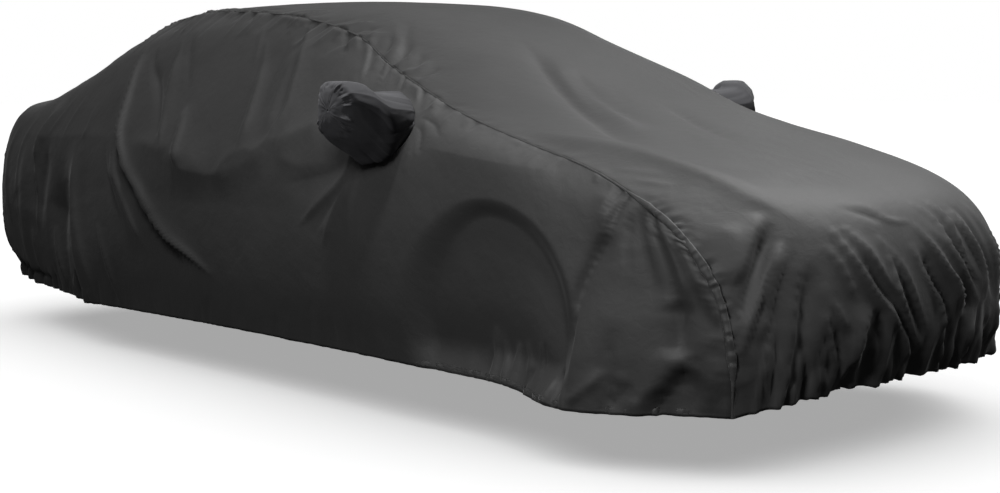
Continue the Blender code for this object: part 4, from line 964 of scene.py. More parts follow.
@functools.cache
def side_grid(side, cell, strength, fine):
    """A side panel's grid of points, and the rows and the columns that bound the hole's block of cells."""
    station, down, reach, hole_i, hole_j = side_places(side, cell)
    points = side_point(station, down, side)
    x, z = points[..., 0], points[..., 2]
    from_top = seam_point(station, side)[..., 2] - z
    from_rear = x - rear_seam(down, side)[..., 0]
    from_front = front_seam(down, side)[..., 0] - x
    from_seam = np.minimum(np.minimum(from_top, from_rear), from_front)
    folds = fold_height(RIGHT_FOLDS if side < 0 else LEFT_FOLDS, x, z)
    points = raised(points, side, strength * folds * ramp(from_seam / FOLD_CALM) - hollow_depth(x, z))

    height = path_height(RIGHT_FINE if side < 0 else LEFT_FINE, x, z)
    rng = np.random.default_rng(SEEDS["side_gathers"] + side)
    from_hem = z - z[:, -1:]
    for first_x, last_x, *sizes in SIDE_GATHERS.values():
        height += crease_height(gathers(rng, first_x, last_x, 0.0, 1, *sizes), x, from_hem)
    creases = puckers(side)
    rearwards, forwards = REAR_CORNER * (1 - down), FRONT_CORNER + (LAST_STATION - FRONT_CORNER) * down
    for number, away in ((station, from_top), (rearwards, from_rear), (forwards, from_front)):
        along = seam_run(number, side)
        height += crease_height(creases, along, -away)
        height += seam_crumples(number, along, away, SEEDS["side_groove"] + side)
    dents = crumple(x, z, CRUMPLE_CELL, SEEDS["side_crumple"] + side)
    height += SIDE_CRUMPLE_HEIGHT * busy(x, *SIDE_BUSY) * dents
    height = fine * height * ramp(from_seam / FINE_CALM)
    points = raised(points, side, height * ramp((reach - 1) * HOLE_CALM))
    return points, hole_i, hole_j


def hole_walk(hole_i, hole_j):
    """The grid places round the hole's block of cells, each once, in order."""
    walk = [(k, hole_j[0]) for k in range(hole_i[0], hole_i[1])]
    walk += [(hole_i[1], k) for k in range(hole_j[0], hole_j[1])]
    walk += [(k, hole_j[1]) for k in range(hole_i[1], hole_i[0], -1)]
    walk += [(hole_i[0], k) for k in range(hole_j[1], hole_j[0], -1)]
    return np.array(walk)


def finer(ring, times):
    """A closed ring of points with more of them, evenly between each two."""
    joined = np.concatenate([ring, ring[:1]])
    places = np.arange(len(ring) * times) / times
    return np.stack([np.interp(places, np.arange(len(joined)), column) for column in joined.T], axis=1)


def pocket_grid(side, ring, square, fine):
    """A mirror pocket's grid: rings from the hole's one outwards, each an oval with flattened sides.

    A smooth curve through the rings of the table carries every ring point outwards. square is the
    panel's normal at each point of the hole's ring."""
    ring, square = finer(ring, POCKET_FINER), finer(square, POCKET_FINER)
    centre = ring.mean(axis=0)
    turn = np.arctan2((ring - centre)[:, 2] / HOLE_TALL, (ring - centre)[:, 0] / HOLE_LONG)
    upper_front = np.clip(np.cos(turn), 0, 1) * np.clip(np.sin(turn), 0, 1) * 2
    rings = [ring, ring + square * POCKET_NECK]
    for row in POCKET.values():
        value = dict(zip(POCKET_COLUMNS, row))
        power = value["flatness"] + value["bevel"] * upper_front
        wide = np.sign(np.cos(turn)) * np.abs(np.cos(turn)) ** power
        tall = np.sign(np.sin(turn)) * np.abs(np.sin(turn)) ** power
        x = value["centre_x"] + value["half_x"] * wide
        z = value["centre_z"] + value["half_z"] * tall
        rings.append(np.stack([x, np.full_like(x, side * value["out_y"]), z], axis=1))
    last = dict(zip(POCKET_COLUMNS, POCKET["end"]))
    tip = np.array([last["centre_x"], side * (last["out_y"] + POCKET_DOME), last["centre_z"]])
    rings.append(tip + (rings[-1] - tip) * POCKET_OPEN)
    rings = np.array(rings)
    out = np.linspace(0, len(rings) - 1, POCKET_ROWS)
    points = np.einsum("ri,ikc->rkc", spline_weights(out, len(rings)), rings)

    # The folds, with the grid closed by a few of its own columns at both ends.
    lap = 4
    points = np.concatenate([points[:, -lap:], points, points[:, :lap]], axis=1)
    around = POCKET_GIRTH * np.unwrap(np.concatenate([turn[-lap:], turn, turn[:lap]])) / (2 * math.pi)
    around, outwards = np.meshgrid(around, np.linspace(0, POCKET_REACH, POCKET_ROWS))
    height = np.zeros_like(around)
    for whole in (-1, 0, 1):
        height += path_height(POCKET_FOLDS, around + whole * POCKET_GIRTH, outwards)
    rng = np.random.default_rng(SEEDS["pocket_gathers"])
    for first, last_place, foot, *sizes in POCKET_GATHERS.values():
        creases = gathers(rng, first, last_place, foot, 1, *sizes)
        for whole in (-1, 0, 1):
            height += crease_height(creases, around + whole * POCKET_GIRTH, outwards)
    height += CRUMPLE_HEIGHT * crumple(around, outwards, POCKET_CRUMPLE_CELL, SEEDS["pocket_crumple"])
    calm = ramp(outwards / POCKET_NECK) * ramp((POCKET_REACH - outwards) / POCKET_TIP_CALM)
    points = raised(points, -side, fine * height * calm)[:, lap:-lap]
    return points, np.stack([around, outwards], axis=-1)[:, lap:-lap]


def seam_normal(station, side):
    """The outward direction at a seam: between the top panel's normal there and sideways."""
    across = side * np.array([0.97, 0.985, 1.0])  # the seam and two places before it
    grid = top_point(*np.meshgrid(station, across, indexing="ij"))
    out = normals_of(grid, side)[:, -1] + [0, side * SEAM_ASIDE, 0]
    return out / np.linalg.norm(out, axis=1, keepdims=True)


def seam_ridge(side):
    """A seam's ridge: its path, its outward directions and its profiles, wide and uneven where drawn up."""
    width, height, step = SEAM_RIDGE
    station = seam_steps(side, 0, LAST_STATION, step)
    out = seam_normal(station, side)
    run = seam_run(station, side)
    grown = SWAY_SHARE + (1 - SWAY_SHARE) * ramp((station - SWAY_FROM) / SWAY_EASE)
    sway = RIDGE_SWAY * grown * line_noise(run, RIDGE_SWAY_CELL, SEEDS["sway"] + side)
    path = seam_point(station, side) + out * (RIDGE_OUT + sway)[:, None]
    ruched = drawn_up(station)
    rungs = line_noise(run, RUNG_CELL, SEEDS["rungs"] + side)
    spread = RUCHE_WIDE_NOISE * line_noise(run, RUCHE_WIDE_CELL, SEEDS["ridge_width"] + side)
    wide = 1 + ruched * (RUCHE_WIDE + spread)
    tall = 1 + ruched * (RUCHE_TALL + RUCHE_TALL_NOISE * rungs) + RUNG_SHARE * (1 - ruched) * rungs
    return path, out, oval(width, height, 8) * np.stack([wide, tall], axis=-1)[:, None]


def stitch_places(side, look, thickness):
    """The middles of the stitches beside a seam, the directions along them and out of the cloth."""
    station = seam_steps(side, STITCH_ENDS, LAST_STATION - STITCH_ENDS, STITCH_PITCH)
    beside = STITCH_PLACE / TOP_HALF_WIDTH
    across = side * (1 - beside * np.array([1.3, 1.0, 0.7]))  # the row and a place on each side of it
    cloth = top_cloth(*np.meshgrid(station, across, indexing="ij"), *look)
    out = normals_of(cloth, side)[:, 1]
    middles = cloth[:, 1] + out * thickness
    along = np.gradient(middles, axis=0)
    return middles, along / np.linalg.norm(along, axis=1, keepdims=True), out


def hem_casing(settings):
    """The casing along the lower edge of all four hems: its path, outward directions and profiles.

    It is one loop, from the right rear corner forwards and back."""
    look = look_of(settings)
    top, _ = top_grid(settings.top_cell, *look)
    right, *_ = side_grid(-1, settings.right_cell, *look)
    left, *_ = side_grid(1, settings.left_cell, *look)
    edge = np.concatenate((right[:-1, -1], top[-1, :-1], left[:0:-1, -1], top[0, :0:-1]))
    width, height, step = HEM_CASING
    path, run = evenly(edge, step)
    along = np.roll(path, -3, axis=0) - np.roll(path, 3, axis=0)
    out = np.cross(along, [0, 0, 1])
    out /= np.linalg.norm(out, axis=1, keepdims=True)
    ruffle = 1 + RUFFLE * line_noise(run, RUFFLE_CELL, SEEDS["ruffle"])
    pleat = PLEAT * line_noise(run, PLEAT_CELL, SEEDS["pleat"])
    path = path + out * (pleat - HEM_INSIDE)[:, None] + [0, 0, HEM_RAISED * width]
    return path, out, oval(width, height, 10) * np.stack([np.ones_like(ruffle), ruffle], axis=-1)[:, None]


def evenly(path, pitch):
    """Points a pitch apart along a closed path, and how far along it they are."""
    joined = np.concatenate([path, path[:1]])
    steps = np.linalg.norm(np.diff(joined, axis=0), axis=1)
    run = np.concatenate([[0], np.cumsum(steps)])
    places = np.linspace(0, run[-1], int(run[-1] / pitch), endpoint=False)
    return np.stack([np.interp(places, run, column) for column in joined.T], axis=1), places


# ---------------------------------------------------------------------------------------------
# Meshes


def sheet_mesh(name, points, uv, flip, closed=False, left_out=None):
    """A piece from a grid of points: a quad for each cell, seen from outside, and a flat map in metres.

    left_out marks the cells that a hole takes. A closed grid joins its last column to its first."""
    rows, columns = points.shape[:2]
    index = np.arange(rows * columns).reshape(rows, columns)
    if closed:
        index = np.concatenate([index, index[:, :1]], axis=1)
    quads = np.stack([index[:-1, :-1], index[1:, :-1], index[1:, 1:], index[:-1, 1:]], axis=-1)
    quads = quads[~left_out] if left_out is not None else quads.reshape(-1, 4)
    if flip:
        quads = quads[:, ::-1]
    used, quads = np.unique(quads, return_inverse=True)
    quads = quads.reshape(-1, 4)
    return mesh_piece(name, points.reshape(-1, 3)[used], quads, uv.reshape(-1, 2)[used])


def mesh_piece(name, points, quads, uv):
    """An object with these points, as heights above the floor, and these quads, smooth, with a UV map."""
    points = points - [0, 0, ROOF_HEIGHT]
    mesh = bpy.data.meshes.new(name)
    mesh.vertices.add(len(points))
    mesh.vertices.foreach_set("co", np.ascontiguousarray(points, dtype=np.float32).ravel())
    mesh.loops.add(quads.size)
    mesh.loops.foreach_set("vertex_index", np.ascontiguousarray(quads, dtype=np.int32).ravel())
    mesh.polygons.add(len(quads))
    mesh.polygons.foreach_set("loop_start", np.arange(0, quads.size, quads.shape[1], dtype=np.int32))
    mesh.polygons.foreach_set("use_smooth", np.ones(len(quads), bool))
    layer = mesh.uv_layers.new(name="flat")
    layer.data.foreach_set("uv", np.ascontiguousarray(uv[quads.ravel()], dtype=np.float32).ravel())
    mesh.update(calc_edges=True)
    mesh.validate()
    piece = bpy.data.objects.new(name, mesh)
    bpy.context.scene.collection.objects.link(piece)
    return piece


def thicken(piece, thickness):
    """Gives the sheet its cloth's thickness, outwards."""
    solid = piece.modifiers.new("cloth", "SOLIDIFY")
    solid.thickness = thickness
    solid.offset = 1
    solid.use_rim = True


# How far apart the points of a tube's profile are on its flat map.
TUBE_MAP_STEP = 0.003


def swept(name, path, out, profile, closed=False):
    """A tube: a closed profile of (sideways, outwards) places carried along a path of points.

    out is the outward direction at each path point, and sideways is square to it and to the path."""
    if closed:
        along = np.roll(path, -1, axis=0) - np.roll(path, 1, axis=0)
    else:
        along = np.gradient(path, axis=0)
    along /= np.linalg.norm(along, axis=1, keepdims=True)
    aside = np.cross(along, out)
    aside /= np.linalg.norm(aside, axis=1, keepdims=True)
    up = np.cross(aside, along)
    points = path[:, None] + aside[:, None] * profile[..., 0:1] + up[:, None] * profile[..., 1:2]
    steps = np.linalg.norm(np.diff(path, axis=0), axis=1)
    run = np.concatenate([[0], np.cumsum(steps)])
    around = np.arange(points.shape[1]) * TUBE_MAP_STEP
    uv = np.stack(np.broadcast_arrays(run[:, None], around[None, :]), axis=-1)
    index = np.arange(points.shape[0] * points.shape[1]).reshape(points.shape[:2])
    index = np.concatenate([index, index[:, :1]], axis=1)
    if closed:
        index = np.concatenate([index, index[:1]], axis=0)
    quads = np.stack([index[:-1, :-1], index[:-1, 1:], index[1:, 1:], index[1:, :-1]], axis=-1)
    return mesh_piece(name, points.reshape(-1, 3), quads.reshape(-1, 4), uv.reshape(-1, 2))


def oval(width, height, count):
    """A closed profile: an oval of so many points."""
    turn = np.arange(count) * 2 * math.pi / count
    return np.stack([width / 2 * np.cos(turn), height / 2 * np.sin(turn)], axis=1)


def stitch_row(name, middles, along, out):
    """Stitches as one piece: each a short six-sided thread along the seam, whose ends dip into the cloth."""
    aside = np.cross(along, out)
    stops = np.linspace(-0.5, 0.5, 5) * STITCH_LENGTH
    girths = STITCH_THICKNESS / 2 * np.array([0.3, 0.9, 1.0, 0.9, 0.3])
    dips = -STITCH_THICKNESS * np.array([0.9, 0.1, 0.0, 0.1, 0.9])
    turn = np.arange(6) * math.pi / 3
    centre = middles[:, None] + along[:, None] * stops[:, None] + out[:, None] * dips[:, None]
    ring = aside[:, None] * np.cos(turn)[:, None] + out[:, None] * np.sin(turn)[:, None]
    points = centre[:, :, None] + ring[:, None] * girths[:, None, None]
    index = np.arange(points[..., 0].size).reshape(points.shape[:3])
    index = np.concatenate([index, index[..., :1]], axis=2)
    quads = np.stack([index[:, :-1, :-1], index[:, :-1, 1:], index[:, 1:, 1:], index[:, 1:, :-1]], axis=-1)
    flat = points.reshape(-1, 3)
    return mesh_piece(name, flat, quads.reshape(-1, 4), flat[:, :2])


# ---------------------------------------------------------------------------------------------
# Materials


def node(tree, kind, **values):
    """A new node of the kind, with its settings and the values of its sockets by name."""
    made = tree.nodes.new(kind)
    for key, value in values.items():
        if hasattr(made, key):
            setattr(made, key, value)
        else:
            made.inputs[key.replace("_", " ")].default_value = value
    return made


def maths(tree, operation, *sources):
    """A Math node whose inputs are sockets or numbers; returns its output socket."""
    made = tree.nodes.new("ShaderNodeMath")
    made.operation = operation
    for socket, source in zip(made.inputs, sources):
        if isinstance(source, (int, float)):
            socket.default_value = source
        else:
            tree.links.new(source, socket)
    return made.outputs[0]


WEAVE_SOCKETS = (
    ("Flat place", "INPUT", "Vector"),
    ("Thread pitch", "INPUT", "Float"),
    ("Thread colour", "INPUT", "Color"),
    ("Groove colour", "INPUT", "Color"),
    ("Colour", "OUTPUT", "Color"),
    ("Height", "OUTPUT", "Float"),
    ("Roughness", "OUTPUT", "Float"),
)


def weave_group():
    """The plain weave: its height is sin(along) sin(aside), and its colour goes from the dark colour to the
    thread's one as it rises, painted shade in the grooves between threads; random patches also shift it.
    """
    found = bpy.data.node_groups.get("Plain weave")
    if found:
        return found
    group = bpy.data.node_groups.new("Plain weave", "ShaderNodeTree")
    face = group.interface
    for name, way, kind in WEAVE_SOCKETS:
        face.new_socket(name, in_out=way, socket_type="NodeSocket" + kind)
    inside = node(group, "NodeGroupInput")
    outside = node(group, "NodeGroupOutput")
    apart = node(group, "ShaderNodeSeparateXYZ")
    group.links.new(inside.outputs["Flat place"], apart.inputs[0])
    turns = maths(group, "DIVIDE", math.pi, inside.outputs["Thread pitch"])
    warp = maths(group, "SINE", maths(group, "MULTIPLY", apart.outputs[0], turns))
    weft = maths(group, "SINE", maths(group, "MULTIPLY", apart.outputs[1], turns))
    crossing = maths(group, "ABSOLUTE", maths(group, "MULTIPLY", warp, weft))
    cloud = node(group, "ShaderNodeTexNoise", Scale=1.7, Detail=3.0, Roughness=0.55)
    group.links.new(inside.outputs["Flat place"], cloud.inputs["Vector"])
    patch = node(group, "ShaderNodeMapRange", From_Min=0.3, From_Max=0.7, To_Min=0.25, To_Max=0.6)
    group.links.new(cloud.outputs[0], patch.inputs["Value"])
    # Painted shade: the colour darkens where the weave is low, between the threads, and the patches make it
    # darker or lighter at random.
    share = maths(group, "MULTIPLY_ADD", crossing, 0.4, patch.outputs[0])
    mix = node(group, "ShaderNodeMix", data_type="RGBA")
    group.links.new(share, mix.inputs["Factor"])
    colours = [s for s in mix.inputs if s.type == "RGBA"]
    group.links.new(inside.outputs["Groove colour"], colours[0])
    group.links.new(inside.outputs["Thread colour"], colours[1])
    result = [s for s in mix.outputs if s.type == "RGBA"][0]
    group.links.new(result, outside.inputs["Colour"])
    group.links.new(crossing, outside.inputs["Height"])
    rough = maths(group, "MULTIPLY_ADD", patch.outputs[0], 0.14, 0.52)
    group.links.new(rough, outside.inputs["Roughness"])
    return group


def new_material(name):
    """A new material, its node tree and its Principled shader."""
    material = bpy.data.materials.new(name)
    material.use_nodes = True
    return material, material.node_tree, material.node_tree.nodes["Principled BSDF"]


# The distance between two threads of the cloth, and how deep the weave is.
THREAD_PITCH, WEAVE_DEPTH = 0.0009, 0.0002

# The cloth's soft unevenness as bumps, the broad one first: scale, detail, roughness and distortion of
# the noise, and its height.
BUMP_STRENGTH = 0.40
BUMPS = (
    (8.0, 2.0, 0.45, 0.0, 0.010),
    (30.0, 4.0, 0.55, 0.6, 0.003),
)


def cloth_material(name):
    """Woven polyester with a soft sheen, on the piece's own flat map."""
    found = bpy.data.materials.get(name)
    if found:
        return found
    settings = cover_settings()
    material, tree, shader = new_material(name)
    flat = node(tree, "ShaderNodeUVMap", uv_map="flat")
    weave = node(tree, "ShaderNodeGroup", node_tree=weave_group())
    weave.inputs["Thread colour"].default_value = (*settings.thread_colour, 1)
    # The dark colour is both the painted shade in the weave's grooves and the tone of its darker patches.
    weave.inputs["Groove colour"].default_value = (*settings.dark_tone_and_groove_shade, 1)
    weave.inputs["Thread pitch"].default_value = THREAD_PITCH
    tree.links.new(flat.outputs[0], weave.inputs["Flat place"])
    tree.links.new(weave.outputs["Colour"], shader.inputs["Base Color"])
    tree.links.new(weave.outputs["Roughness"], shader.inputs["Roughness"])
    fine = node(tree, "ShaderNodeBump", Strength=0.15, Distance=WEAVE_DEPTH)
    tree.links.new(weave.outputs["Height"], fine.inputs["Height"])
    tree.links.new(fine.outputs[0], shader.inputs["Normal"])
    over = fine
    for scale, detail, roughness, distortion, distance in reversed(BUMPS):
        noise = node(tree, "ShaderNodeTexNoise", Scale=scale, Detail=detail, Roughness=roughness)
        noise.inputs["Distortion"].default_value = distortion
        tree.links.new(flat.outputs[0], noise.inputs["Vector"])
        bump = node(tree, "ShaderNodeBump", Strength=BUMP_STRENGTH, Distance=distance)
        tree.links.new(noise.outputs[0], bump.inputs["Height"])
        tree.links.new(bump.outputs[0], over.inputs["Normal"])
        over = bump
    shader.inputs["Sheen Weight"].default_value = 0.12
    shader.inputs["Sheen Roughness"].default_value = 0.45
    shader.inputs["Specular IOR Level"].default_value = 0.42
    return material


def thread_material():
    """Twisted polyester thread, with painted light on the ridges of its twist and painted shade in its
    grooves.
    """
    found = bpy.data.materials.get("sewing_thread")
    if found:
        return found
    material, tree, shader = new_material("sewing_thread")
    place = node(tree, "ShaderNodeTexCoord")
    wave = node(tree, "ShaderNodeTexWave", Scale=900.0, Distortion=1.0)
    tree.links.new(place.outputs["Object"], wave.inputs["Vector"])
    # Painted light and shade: the colour follows the twist's bump, lighter on its ridges and darker in its
    # grooves.
    shade = node(tree, "ShaderNodeMapRange", To_Min=0.018, To_Max=0.05)
    tree.links.new(wave.outputs["Fac"], shade.inputs["Value"])
    tree.links.new(shade.outputs[0], shader.inputs["Base Color"])
    bump = node(tree, "ShaderNodeBump", Strength=0.4, Distance=0.0002)
    tree.links.new(wave.outputs["Fac"], bump.inputs["Height"])
    tree.links.new(bump.outputs[0], shader.inputs["Normal"])
    shader.inputs["Roughness"].default_value = 0.5
    return material


# ---------------------------------------------------------------------------------------------
# Settings


class CoverSettings(bpy.types.PropertyGroup):
    """Sizes and colours of the cover."""

    cloth_thickness: bpy.props.FloatProperty(
        name="Cloth thickness", description="Thickness of each cloth sheet", default=0.0012,
        min=0.0002, max=0.004, precision=4, unit="LENGTH",
    )
    top_cell: bpy.props.FloatProperty(
        name="Top cell", description="Size of a mesh cell of the top panel", default=0.0125,
        min=0.008, max=0.1, precision=4, unit="LENGTH",
    )
    right_cell: bpy.props.FloatProperty(
        name="Right cell", description="Size of a mesh cell of the right side panel", default=0.0105,
        min=0.008, max=0.1, precision=4, unit="LENGTH",
    )
    left_cell: bpy.props.FloatProperty(
        name="Left cell", description="Size of a mesh cell of the left side panel", default=0.0160,
        min=0.008, max=0.1, precision=4, unit="LENGTH",
    )
    fold_strength: bpy.props.FloatProperty(
        name="Folds", description="How high the large folds stand", default=1.0,
        min=0, max=2, subtype="FACTOR",
    )
    fine_strength: bpy.props.FloatProperty(
        name="Creases", description="How high the small folds stand", default=1.0,
        min=0, max=2, subtype="FACTOR",
    )
    thread_colour: bpy.props.FloatVectorProperty(
        name="Thread", description="Colour of the cloth's threads", default=(0.085, 0.085, 0.085),
        size=3, min=0, max=1, subtype="COLOR",
    )
    # The dark end of the weave's colour: painted shade between the threads, and the tone of darker patches.
    dark_tone_and_groove_shade: bpy.props.FloatVectorProperty(
        name="Groove", description="Colour between the cloth's threads", default=(0.040, 0.040, 0.040),
        size=3, min=0, max=1, subtype="COLOR",
    )


class StageSettings(bpy.types.PropertyGroup):
    """Light, floor and camera."""

    floor_colour: bpy.props.FloatVectorProperty(
        name="Floor", description="Colour of the floor", default=(0.86, 0.86, 0.86),
        size=3, min=0, max=1, subtype="COLOR",
    )
    floor_glow: bpy.props.FloatProperty(
        name="Floor glow", description="How bright the floor is in full shadow", default=0.38,
        min=0, max=1,
    )
    sky: bpy.props.FloatProperty(
        name="Sky", description="Strength of the light from overhead", default=0.06, min=0, max=20,
    )
    back: bpy.props.FloatProperty(
        name="Back", description="Strength of the light from behind", default=0.02, min=0, max=20,
    )
    fill: bpy.props.FloatProperty(
        name="Fill", description="Strength of the light from all round", default=0.024, min=0, max=20,
    )
    lens: bpy.props.FloatProperty(
        name="Lens", description="Focal length of the camera", default=61.735,
        min=20, max=200, unit="CAMERA",
    )


def cover_settings():
    """The cover's sizes and colours."""
    return bpy.context.scene.car_cover


def cell_of(settings, name):
    """The size of a mesh cell of the right or the left side panel."""
    return getattr(settings, name + "_cell")


def look_of(settings):
    """How high the large and the small folds stand."""
    return settings.fold_strength, settings.fine_strength


def finished(piece, material):
    """The steps that every piece ends with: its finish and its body."""
    piece.data.materials.append(material)
    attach(piece, "root")
    return piece


# ---------------------------------------------------------------------------------------------
# Operators


class CARCOVER_OT_top_panel(bpy.types.Operator):
    """Make the top panel, from the rear hem over the roof to the front hem."""

    bl_idname = "car_cover.top_panel"
    bl_label = "Top panel"

    def execute(self, context):
        settings = cover_settings()
        points, flat = top_grid(settings.top_cell, *look_of(settings))
        piece = sheet_mesh("top_panel_cloth", points, flat, False)
        thicken(piece, settings.cloth_thickness)
        finished(piece, cloth_material("panel_cloth"))
        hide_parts("top_panel")
        return {"FINISHED"}


class CARCOVER_OT_side_panels(bpy.types.Operator):
    """Make the two side panels, each with the hole for its mirror pocket."""

    bl_idname = "car_cover.side_panels"
    bl_label = "Side panels"

    def execute(self, context):
        settings = cover_settings()
        for name, side in SIDES:
            points, hole_i, hole_j = side_grid(side, cell_of(settings, name), *look_of(settings))
            hole = np.zeros((points.shape[0] - 1, points.shape[1] - 1), bool)
            hole[hole_i[0]:hole_i[1], hole_j[0]:hole_j[1]] = True
            drop = np.linalg.norm(np.diff(points, axis=1), axis=-1)
            drop = np.concatenate([np.zeros((points.shape[0], 1)), np.cumsum(drop, axis=1)], axis=1)
            flat = np.stack([points[..., 0], drop], axis=-1)
            piece = sheet_mesh(f"side_panel_{name}_cloth", points, flat, side < 0, left_out=hole)
            thicken(piece, settings.cloth_thickness)
            finished(piece, cloth_material("panel_cloth"))
            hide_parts("side_panel_" + name)
        return {"FINISHED"}


class CARCOVER_OT_mirror_pockets(bpy.types.Operator):
    """Make the two mirror pockets, each with the seam at its foot."""

    bl_idname = "car_cover.mirror_pockets"
    bl_label = "Mirror pockets"

    def execute(self, context):
        settings = cover_settings()
        profile = oval(SEAM_RIDGE[0] * FOOT_WIDE, SEAM_RIDGE[1] * FOOT_TALL, 8)
        for name, side in SIDES:
            points, hole_i, hole_j = side_grid(side, cell_of(settings, name), *look_of(settings))
            walk = hole_walk(hole_i, hole_j)
            ring = points[walk[:, 0], walk[:, 1]]
            square = normals_of(points, side)[walk[:, 0], walk[:, 1]]
            grid, flat = pocket_grid(side, ring, square, settings.fine_strength)
            piece = sheet_mesh(f"mirror_pocket_{name}_cloth", grid, flat, side > 0, closed=True)
            thicken(piece, settings.cloth_thickness)
            finished(piece, cloth_material("pocket_cloth"))
            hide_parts("mirror_pocket_" + name)
            path = finer(ring + square * FOOT_OUT, 2)
            seam = swept(f"pocket_seam_{name}", path, finer(square, 2), profile, closed=True)
            finished(seam, cloth_material("pocket_cloth"))
        return {"FINISHED"}


class CARCOVER_OT_seams(bpy.types.Operator):
    """Make the ridges of the two long seams and a row of stitches beside each."""

    bl_idname = "car_cover.seams"
    bl_label = "Seams"

    def execute(self, context):
        settings = cover_settings()
        for name, side in SIDES:
            piece = swept("seam_ridge_" + name, *seam_ridge(side))
            finished(piece, cloth_material("panel_cloth"))
            places = stitch_places(side, look_of(settings), settings.cloth_thickness)
            stitches = stitch_row("seam_stitches_" + name, *places)
            finished(stitches, thread_material())
        return {"FINISHED"}


class CARCOVER_OT_hem(bpy.types.Operator):
    """Make the ruffled casing of the elastic hem."""

    bl_idname = "car_cover.hem"
    bl_label = "Elastic hem"

    def execute(self, context):
        piece = swept("elastic_hem", *hem_casing(cover_settings()), closed=True)
        finished(piece, cloth_material("panel_cloth"))
        return {"FINISHED"}


# What a light can be linked to, by how the names of its pieces start.
LIT_BY_NAME = {
    "cloth": ("top", "side", "seam", "elastic"),
    "top": ("top", "seam", "elastic"),
    "sides": ("side",),
    "pockets": ("mirror", "pocket"),
    "floor": ("floor",),
}

# Softboxes, a row each: name, place and aim above the floor, width and length, power and what they light.
SOFTBOXES = (
    ("overhead_box", (2.5, 1.1, 3.8), (1.8, 0.2, 0.4), (3.0, 3.0), 172.0, "cloth"),
    ("window_box", (-0.3, -3.4, 4.2), (-0.2, -0.7, 1.0), (2.4, 2.4), 10.0, "cloth"),
    ("side_box", (2.5, -3.2, 3.0), (1.45, -0.85, 0.72), (1.4, 1.4), 47.0, "sides"),
)

# Lights from far away, a row each: name, the direction that they come from, angle, strength, and what
# they light.
FAR_LIGHTS = (
    ("side_light", (0.88, -0.22, 0.36), 14.0, 0.12, "sides"),
    ("high_light", (0.14, -0.10, 1.0), 8.0, 0.93, "sides"),
    ("left_light", (-0.05, 0.85, 0.45), 30.0, 0.55, "sides"),
    ("pocket_light", (-0.35, -0.12, 1.0), 6.0, 6.5, "pockets"),
    ("pocket_fill", (-0.20, -0.88, 0.25), 20.0, 0.95, "pockets"),
    ("pocket_back", (-0.10, 0.92, 0.30), 50.0, 1.50, "pockets"),
    ("rear_light", (-0.95, 0.25, -0.02), 30.0, 0.9, "top"),
    ("front_light", (0.16, -0.84, 0.46), 14.0, 1.25, "top"),
    ("floor_light", (0.0, 0.0, 1.0), 110.0, 2.5, "floor"),
)

# How far the floor goes from its middle.
FLOOR_HALF = 60.0

# Where the world's light from behind comes from.
BACK_SOURCE = (-0.75, 0.62, 0.25)

# The camera: its place above the floor, and how it is turned, in degrees from X and from level.
CAMERA_PLACE = (5.42313, -4.38124, 1.15838)
CAMERA_YAW, CAMERA_PITCH = 139.0997, -5.6675


def make_floor(stage):
    """The floor, which the cloth doesn't reflect."""
    corners = np.array([(-1, -1, 0), (1, -1, 0), (1, 1, 0), (-1, 1, 0)]) * FLOOR_HALF
    floor = mesh_piece("floor", corners, np.array([[0, 1, 2, 3]]), corners[:, :2])
    paper, _, shader = new_material("floor_paper")
    shader.inputs["Base Color"].default_value = (*stage.floor_colour, 1)
    shader.inputs["Roughness"].default_value = 0.9
    shader.inputs["Specular IOR Level"].default_value = 0.1
    shader.inputs["Emission Color"].default_value = (1, 1, 1, 1)
    shader.inputs["Emission Strength"].default_value = stage.floor_glow
    floor.data.materials.append(paper)
    floor.visible_diffuse = False
    floor.visible_glossy = False
    return floor


def add_light(lamp, rotation, receivers):
    """The lamp as an object that is turned so, and that lights only the collection of receivers."""
    light = bpy.data.objects.new(lamp.name, lamp)
    light.rotation_euler = rotation.to_euler()
    light.light_linking.receiver_collection = receivers
    bpy.context.scene.collection.objects.link(light)
    return light


def light_world(stage):
    """The world: light from all round, from overhead and from behind, and white where the camera sees it."""
    world = bpy.data.worlds.new("studio")
    world.use_nodes = True
    tree = world.node_tree
    background = tree.nodes["Background"]
    place = node(tree, "ShaderNodeTexCoord")
    apart = node(tree, "ShaderNodeSeparateXYZ")
    tree.links.new(place.outputs["Generated"], apart.inputs[0])
    overhead = maths(tree, "POWER", maths(tree, "MAXIMUM", apart.outputs[2], 0.0), 2.0)
    behind = node(tree, "ShaderNodeVectorMath", operation="DOT_PRODUCT")
    behind.inputs[1].default_value = Vector(BACK_SOURCE).normalized()
    tree.links.new(place.outputs["Generated"], behind.inputs[0])
    back = maths(tree, "POWER", maths(tree, "MAXIMUM", behind.outputs["Value"], 0.0), 2.0)
    light = maths(tree, "MULTIPLY_ADD", overhead, stage.sky, stage.fill)
    light = maths(tree, "MULTIPLY_ADD", back, stage.back, light)
    seen = node(tree, "ShaderNodeLightPath").outputs["Is Camera Ray"]
    strength = maths(tree, "MULTIPLY_ADD", light, maths(tree, "SUBTRACT", 1.0, seen), seen)
    tree.links.new(strength, background.inputs["Strength"])
    background.inputs["Color"].default_value = (1, 1, 1, 1)
    bpy.context.scene.world = world


def place_camera(stage):
    """The camera, where the photo's was."""
    camera = bpy.data.cameras.new("camera")
    camera.sensor_width = 36.0
    camera.lens = stage.lens
    camera.clip_end = 500.0
    view = bpy.data.objects.new("camera", camera)
    yaw, pitch = math.radians(CAMERA_YAW), math.radians(CAMERA_PITCH)
    level = math.cos(pitch)
    ahead = Vector((math.cos(yaw) * level, math.sin(yaw) * level, math.sin(pitch)))
    x, y, z = CAMERA_PLACE
    view.location = (x, y, z - ROOF_HEIGHT)
    view.rotation_euler = ahead.to_track_quat("-Z", "Y").to_euler()
    bpy.context.scene.collection.objects.link(view)
    bpy.context.scene.camera = view


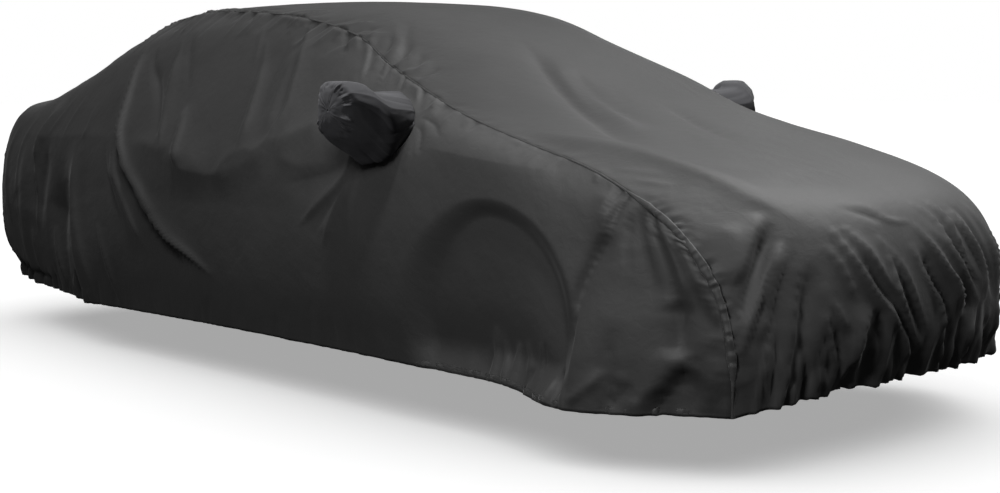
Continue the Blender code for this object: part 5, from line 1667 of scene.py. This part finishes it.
class CARCOVER_OT_stage(bpy.types.Operator):
    """Make the floor, the light and the camera."""

    bl_idname = "car_cover.stage"
    bl_label = "Stage"

    def execute(self, context):
        stage = context.scene.car_cover_stage
        floor = make_floor(stage)
        floor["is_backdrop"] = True
        receivers = {name: bpy.data.collections.new("lit_" + name) for name in LIT_BY_NAME}
        for name, starts in LIT_BY_NAME.items():
            for piece in (*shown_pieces(), floor):
                if piece.name.startswith(starts):
                    receivers[name].objects.link(piece)
        for name, place, aim, size, power, lit in SOFTBOXES:
            lamp = bpy.data.lights.new(name, "AREA")
            lamp.shape = "RECTANGLE"
            lamp.size, lamp.size_y = size
            lamp.energy = power
            box = add_light(lamp, (Vector(aim) - Vector(place)).to_track_quat("-Z", "Y"), receivers[lit])
            box.location = Vector(place) - Vector((0, 0, ROOF_HEIGHT))
            box.visible_camera = False
        for name, source, angle, strength, lit in FAR_LIGHTS:
            lamp = bpy.data.lights.new(name, "SUN")
            lamp.energy = strength
            lamp.angle = math.radians(angle)
            add_light(lamp, Vector(source).to_track_quat("Z", "Y"), receivers[lit])
        light_world(stage)
        place_camera(stage)
        context.scene.view_settings.view_transform = "Standard"
        return {"FINISHED"}


class CARCOVER_PT_pieces(bpy.types.Panel):
    """Lists the cover's sizes and colours and the pieces to make."""

    bl_idname = "CARCOVER_PT_pieces"
    bl_label = "Car cover"
    bl_space_type = "VIEW_3D"
    bl_region_type = "UI"
    bl_category = "Car cover"

    def draw(self, context):
        for settings in (context.scene.car_cover, context.scene.car_cover_stage):
            for key in settings.__annotations__:
                self.layout.prop(settings, key)
        for operator in OPERATORS:
            self.layout.operator(operator.bl_idname)


OPERATORS = (
    CARCOVER_OT_side_panels,
    CARCOVER_OT_mirror_pockets,
    CARCOVER_OT_seams,
    CARCOVER_OT_hem,
    CARCOVER_OT_top_panel,
    CARCOVER_OT_stage,
)
CLASSES = (CoverSettings, StageSettings, *OPERATORS, CARCOVER_PT_pieces)


def register():
    """Adds the settings, the operators and the panel."""
    for each in CLASSES:
        bpy.utils.register_class(each)
    bpy.types.Scene.car_cover = bpy.props.PointerProperty(type=CoverSettings)
    bpy.types.Scene.car_cover_stage = bpy.props.PointerProperty(type=StageSettings)


def unregister():
    """Takes them out again."""
    del bpy.types.Scene.car_cover_stage
    del bpy.types.Scene.car_cover
    for each in reversed(CLASSES):
        bpy.utils.unregister_class(each)


def main():
    """Makes every piece and the stage."""
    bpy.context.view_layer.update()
    register()
    bpy.ops.car_cover.side_panels()
    bpy.ops.car_cover.mirror_pockets()
    bpy.ops.car_cover.seams()
    bpy.ops.car_cover.hem()
    bpy.ops.car_cover.top_panel()
    bpy.ops.car_cover.stage()


if __name__ == "__main__":
    main()
